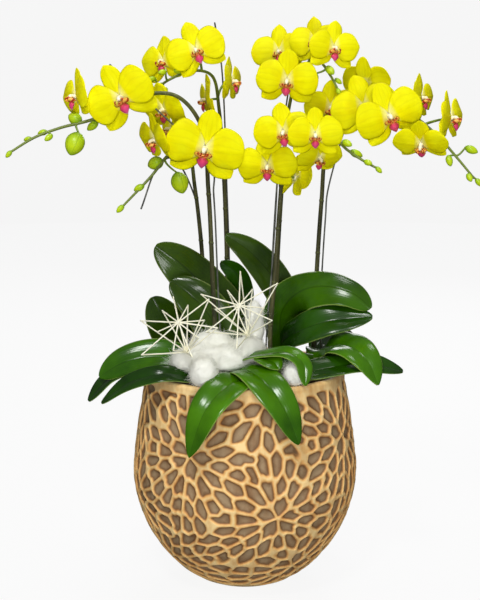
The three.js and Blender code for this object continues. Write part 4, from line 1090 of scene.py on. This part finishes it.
def add_leaf(shape, name, paint, rows=56, columns=25):
    """A leaf along its midrib, folded a little along it and rippled at the edges."""
    plant, base, width, face, path = LEAVES[name]
    crown = np.array(PLANTS[plant]["crown"], float)
    outward = unit(np.append(np.array(path[0][:2]) - crown, 0))
    start = base if isinstance(base, tuple) else np.array([*crown, base]) + outward * LEAF_SEAT
    curve = curve_through([start, *path], 300)
    tangents = unit(np.gradient(curve, axis=0))
    level = np.cross(outward, UP)
    facing = unit(np.cross(tangents, np.array(face, float)))
    sense = np.sign(at_share(facing, TWIST).dot(level))
    shares = 1 - (1 - np.linspace(0, 1, rows)) ** 1.5
    centre, along = at_share(curve, shares), unit(at_share(tangents, shares))
    blend = np.minimum(shares / LEAF_TWISTS.get(name, TWIST), 1)[:, None]
    side = level * (1 - blend) + at_share(facing, shares) * sense * blend
    side = unit(side - along * (side * along).sum(1, keepdims=True))
    normal = np.cross(side, along)
    half = width / 2 * leaf_half(shares, LEAF_TIPS.get(name, BLUNT_TIP))
    u = np.linspace(-1, 1, columns)
    bend = 0.4 * np.sqrt(u**2 + 0.002) - 0.22 * u**2
    groove = half[:, None] * bend[None, :] * np.minimum(shares / 0.25, 1)[:, None]
    rng = random.Random(name)
    phase, beats = rng.uniform(0, 6), rng.uniform(9, 13)
    ripple = 0.9 * np.sin(beats * shares + phase)[:, None] * (u**2 * np.sign(u))[None, :]
    ripple = ripple * smoothstep(0.1, 0.4, shares)[:, None]
    middle = centre[:, None] + side[:, None] * (half[:, None] * u)[..., None]
    middle = middle + normal[:, None] * (groove + ripple)[..., None]
    middle = middle[:, ::-1]
    outwards = np.cross(np.gradient(middle, axis=1), np.gradient(middle, axis=0)).mean((0, 1))
    sides = (paint, LEAF_UNDER) if outwards @ np.array(face) > 0 else (LEAF_UNDER, paint)
    shape.sheet(middle, LEAF_THICKNESS, sides, u, shares)


# The leaves whose upper face isn't the usual green; the deep ones get a darker copy of it as painted
# shade.
LEAF_PAINTS = {
    "leaf_right_second": LEAF_SHADED, "leaf_right_far": LEAF_SHADED, "leaf_right_hidden": LEAF_SHADED,
    "leaf_left_pair": LEAF_SHADED, "leaf_back_curled": LEAF_SHADED,
    "leaf_right_top": LEAF_DARKER, "leaf_right_broad": LEAF_DARKER,
    "leaf_back_left_high": LEAF_OLD, "leaf_back_left_low": LEAF_OLD, "leaf_back_tall": LEAF_OLD,
    "leaf_left_blunt": LEAF_OLD,
}


def build_leaves():
    """One piece for each leaf and each fused pair."""
    paired = {name for pair in LEAF_PAIRS.values() for name in pair}
    pieces = {name: (name,) for name in LEAVES if name not in paired} | LEAF_PAIRS
    for node, names in pieces.items():
        shape = Shape()
        for name in names:
            add_leaf(shape, name, LEAF_PAINTS.get(node, LEAF_TOP))
        shape.finish(f"{node}_blade", "leaf", node)


# ---------------- blooms

# In shares of a bloom's span: x to the right, y up and z out of its face. Each sepal's turn in
# degrees from x, half width and bluntness, a petal's half width, and the lip's and column's routes.
SEPALS = ((-142, 0.162, 0.62), (-38, 0.162, 0.62), (90, 0.168, 0.55))
PETAL_HALF = 0.285
LIP_PATH = [(0, -0.03, 0.06), (0, -0.09, 0.115), (0, -0.14, 0.13), (0, -0.19, 0.12), (0, -0.235, 0.085)]
LIP_HALVES = [0.03, 0.048, 0.08, 0.066, 0.0]
EAR_PATH = [
    (0.018, -0.05, 0.06), (0.062, -0.085, 0.09), (0.078, -0.065, 0.135), (0.066, -0.02, 0.165),
    (0.04, 0.012, 0.172),
]
EAR_HALVES = [0.022, 0.045, 0.05, 0.036, 0.0]
COLUMN_PATH = [(0, 0, -0.02), (0, 0.014, 0.05), (0, 0.012, 0.1), (0, -0.004, 0.13)]
CALLUS_PATH = [(0, -0.075, 0.1), (0, -0.068, 0.125), (0, -0.055, 0.14)]
CALLUS_RADIUS = 0.016


def bloom_axes(look):
    """A bloom's directions: to the right and up in its face, and out of its face."""
    right, upward, roll = np.radians(look)
    facing = np.array([
        math.sin(right) * math.cos(upward), -math.cos(right) * math.cos(upward), math.sin(upward),
    ])
    top = unit(UP - facing * facing[2])
    top = top * math.cos(roll) + np.cross(facing, top) * math.sin(roll)
    return np.array([np.cross(top, facing), top, facing])


def lobe(degrees, half, widest, blunt, heights, cup, rng, lift=0.0, rows=32, columns=23):
    """The middle surface of a petal or sepal in shares of the span, from its turn in the face, its
    half width, the share of its length where it is widest, how sharply it narrows, the z of its two
    ends, its bulge and its sideways sweep. Its edges wander a little, and it has a keel, soft pleats
    that fan out and waves at the rim."""
    v = 1 - (1 - np.linspace(0, 1, rows)) ** 1.9
    u = np.linspace(-1, 1, columns)
    rising = 0.14 + 0.86 * np.sin(np.minimum(v / widest, 1) * math.pi / 2) ** 0.95
    falling = np.clip(1 - np.clip((v - widest) / (1 - widest), 0, 1) ** 2.4, 0, 1) ** blunt
    wide = (half * rng.uniform(0.93, 1.03) * rising * falling)[:, None]
    first, second = rng.uniform(0, 6.28), rng.uniform(0, 6.28)
    beats = rng.uniform(4.5, 7)
    v2, u2 = v[:, None], u[None, :]
    edge = np.where(u2 < 0, np.sin(beats * v2 + first), np.sin(beats * 1.2 * v2 + second))
    side = wide * u2 * (1 + 0.06 * edge * u2**2) + lift * np.sin(math.pi * v2**0.8)
    ease = falling[:, None]
    out = BLOOM_REACH * v2 * (1 + 0.03 * np.sin(3.1 * u2 + second) * v2 * ease)
    spread = smoothstep(0.12, 0.5, v2)
    z = heights[0] + (heights[1] - heights[0]) * v2 + cup * np.sin(math.pi * v2)
    z = z - 0.2 * wide * u2**2 + 0.014 * np.exp(-(u2 / 0.1) ** 2) * spread * (1 - v2)
    z = z - 0.004 * np.cos(rng.uniform(5, 8) * u2 + first) * spread * (1.1 - v2)
    z = z + 0.022 * np.sin(beats * v2 + second) * u2**3 * spread * ease
    z = z + 0.016 * np.sin(2.4 * u2 + first) * v2**3 * ease
    turn = math.radians(degrees) + rng.uniform(-0.06, 0.06)
    x = math.cos(turn) * out - math.sin(turn) * side
    y = math.sin(turn) * out + math.cos(turn) * side
    return np.stack([x, y, z], -1), u, v


def ribbon(path, halves, side, cup, rows=14, columns=9):
    """A lip lobe's middle surface along a path, with half widths and a sideways direction."""
    route = curve_through(path, rows)
    v = np.linspace(0, 1, rows)
    u = np.linspace(-1, 1, columns)
    known = np.linspace(0, 1, len(halves))
    wide = np.interp(v, known, halves)
    along = unit(np.gradient(route, axis=0))
    side = np.array(side, float)
    side = unit(side - along * (along @ side)[:, None])
    normal = np.cross(side, along)
    middle = route[:, None] + side[:, None] * (wide[:, None] * u)[..., None]
    middle = middle + normal[:, None] * (cup * wide[:, None] * u**2)[..., None]
    return middle, u, v


def build_bloom(name):
    """Three sepals, two petals, the lip's front lobe and ears, its callus, and the column."""
    _, at, look, span = BLOOMS[name]
    axes = bloom_axes(look)
    rng = random.Random(name)
    shape = Shape()

    def placed(local):
        return np.array(at) + (local * span) @ axes

    def add(grid, paint):
        shape.sheet(placed(grid[0]), PETAL_THICKNESS, (paint, paint), *grid[1:])

    pointed = rng.uniform(0, 1)
    for degrees, half, blunt in SEPALS:
        widest = 0.5 - 0.06 * pointed
        add(lobe(degrees, half, widest, blunt + 0.25 * pointed, (-0.03, -0.055), 0.01, rng), PETAL)
    for degrees, lift in ((8, 0.014), (172, -0.014)):
        widest, blunt = 0.57 - 0.07 * pointed, 0.42 + 0.22 * pointed
        add(lobe(degrees, PETAL_HALF, widest, blunt, (0.01, 0.03), 0.03, rng, lift), PETAL)
    add(ribbon(LIP_PATH, LIP_HALVES, RIGHT, 0.7), LIP_FRONT)
    for way in (-1, 1):
        path = [(way * x, y, z) for x, y, z in EAR_PATH]
        add(ribbon(path, EAR_HALVES, (way * 0.35, -0.3, -0.9), -0.6 * way), LIP_LOBE)
    radii = span * np.interp(np.linspace(0, 1, 12), [0, 0.5, 0.8, 1], [0.05, 0.03, 0.034, 0.024])
    shape.tube(placed(curve_through(COLUMN_PATH, 12)), radii, STEM_SIDES, COLUMN)
    shape.tube(placed(curve_through(CALLUS_PATH, 6)), span * CALLUS_RADIUS, STALK_SIDES, LIP_LOBE)
    shape.finish(f"{name}_petals", "petal", name)


# ---------------- stick stars


def build_star(name):
    """Two sticks to each point, one from the front hub and one from the rear hub."""
    front, rear, rays = STARS[name]
    front, rear = np.array(front, float), np.array(rear, float)
    axis = unit(front - rear)
    across = unit(np.cross(UP, axis))
    upward = np.cross(axis, across)
    middle = front + (rear - front) * STAR_DEPTH_SHARE
    rng = random.Random(name)
    shape = Shape()
    for degrees, length in rays:
        turn = math.radians(degrees)
        tip = middle + length * (across * math.cos(turn) + upward * math.sin(turn))
        for hub in (front, rear):
            bow = np.array([rng.uniform(-0.5, 0.5) for _ in range(3)])
            start = hub + unit(tip - hub) * 0.6
            stick = bezier(start, (start + tip) / 2 + bow, tip, 8)
            shape.tube(stick, STICK_RADIUS * np.linspace(1.05, 0.95, 8), STICK_SIDES, STICK)
    for hub in (front, rear):
        for _ in range(5):
            heading = unit(np.array([rng.gauss(0, 1) for _ in range(3)]))
            knot = [hub - heading * 1.6, hub, hub + heading * 1.6]
            shape.tube(knot, [1.2, 1.9, 1.2], STALK_SIDES, STICK)
    shape.finish(f"{name}_sticks", "stick", name)


# ---------------- surroundings

CAMERA_PLACE = (-6, -1500, 597)
CAMERA_PITCH = 9.8
FOCAL_PIXELS = 1283
PHOTO_HEIGHT = 600
SENSOR = 36
# The backdrop, in metres: a level middle, a bend and an upright wall.
BACKDROP_MIDDLE = 1.0
BACKDROP_RADIUS = 4.0
BACKDROP_BEND = 1.5
BACKDROP_HEIGHT = 3.2
BACKDROP_SIDES = 96
BACKDROP_GLOW = 0.905
WORLD_BELOW_ABOVE = (0.03, 0.27)
WORLD_BACK_FRONT = (0.0, 0.16)
# Each lamp's place and width in metres, and its power in watts.
LAMPS = {
    "key_light": ((-0.4, -1.3, 2.0), 0.35, 17),
    "fill_light": ((0.1, -2.2, 0.15), 0.8, 21),
    "window_light": ((-0.05, -2.0, 1.25), 0.35, 6),
    "top_light": ((0.2, 0.1, 2.0), 0.4, 7),
    "back_light": ((0.3, 2.0, 1.2), 1.0, 12),
}
LAMP_TARGET = np.array([0, 0, 0.35])


def build_backdrop():
    """A plain pale floor that curves up into a pale wall all round."""
    paint = Paint("pale_floor", 0.9)
    paint.shader.inputs["Base Color"].default_value = (0.04, 0.04, 0.04, 1)
    paint.shader.inputs["Emission Color"].default_value = (1, 1, 1, 1)
    paint.shader.inputs["Emission Strength"].default_value = BACKDROP_GLOW
    profile = [(0.01, 0), (BACKDROP_MIDDLE, 0)]
    for turn in np.linspace(math.pi / 2, 0, 12):
        radius = BACKDROP_RADIUS - BACKDROP_BEND * math.cos(turn)
        profile.append((radius, BACKDROP_BEND * (1 - math.sin(turn))))
    profile.append((BACKDROP_RADIUS, BACKDROP_HEIGHT))
    turns = round_turns(BACKDROP_SIDES)
    points = np.vstack([circle((0, 0, height), radius, RIGHT, BACK, turns) for radius, height in profile])
    mesh = bpy.data.meshes.new("floor")
    mesh.from_pydata(points.tolist(), [], grid_faces(len(profile), BACKDROP_SIDES, True).tolist())
    mesh.shade_smooth()
    mesh.materials.append(paint.material)
    floor = linked("floor", mesh)
    floor.visible_diffuse = False
    floor.visible_glossy = False
    floor.visible_shadow = False


def build_world():
    """Soft light from all round: brightest above and in front, dim behind and below."""
    world = bpy.data.worlds.new("studio")
    world.use_nodes = True
    tree = world.node_tree
    spot = tree.nodes.new("ShaderNodeTexCoord")
    parts = tree.nodes.new("ShaderNodeSeparateXYZ")
    tree.links.new(spot.outputs["Generated"], parts.inputs[0])
    ranges = (("Z", -0.3, 1, *WORLD_BELOW_ABOVE), ("Y", 0.4, -1, *WORLD_BACK_FRONT))
    shares = []
    for axis, *values in ranges:
        ranged = tree.nodes.new("ShaderNodeMapRange")
        for place, value in enumerate(values, 1):
            ranged.inputs[place].default_value = value
        tree.links.new(parts.outputs[axis], ranged.inputs[0])
        shares.append(ranged.outputs[0])
    strength = tree.nodes.new("ShaderNodeMath")
    strength.operation = "ADD"
    for share, place in zip(shares, strength.inputs):
        tree.links.new(share, place)
    background = tree.nodes["Background"]
    tree.links.new(strength.outputs[0], background.inputs["Strength"])
    background.inputs["Color"].default_value = (1, 1, 1, 1)
    bpy.context.scene.world = world


def build_surroundings():
    """The camera at the photograph's angle, the backdrop, the lamps and the soft light all round."""
    camera = bpy.data.cameras.new("camera")
    camera.sensor_width = SENSOR
    camera.lens = FOCAL_PIXELS / PHOTO_HEIGHT * SENSOR
    eye = linked("camera", camera)
    eye.location = np.array(CAMERA_PLACE) * MM
    eye.rotation_euler = (math.radians(90 - CAMERA_PITCH), 0, 0)
    bpy.context.scene.camera = eye
    build_backdrop()
    for name, (place, size, power) in LAMPS.items():
        lamp = bpy.data.lights.new(name, "AREA")
        lamp.size = size
        lamp.energy = power
        obj = linked(name, lamp)
        obj.location = place
        obj.visible_glossy = name != "fill_light"
        obj.rotation_euler = Vector(np.array(place) - LAMP_TARGET).to_track_quat("Z", "Y").to_euler()
    build_world()
    bpy.context.scene.view_settings.view_transform = "Standard"


build_surroundings()
build_pot()
build_medium()
build_fibre("white_fibre_mound", 7000, 3)
build_fibre("white_fibre_wad", 1200, 4)
for star in STARS:
    build_star(star)
for plant in PLANTS:
    build_plant(plant)
    build_stake(plant)
build_leaves()
for bloom in BLOOMS:
    build_bloom(bloom)
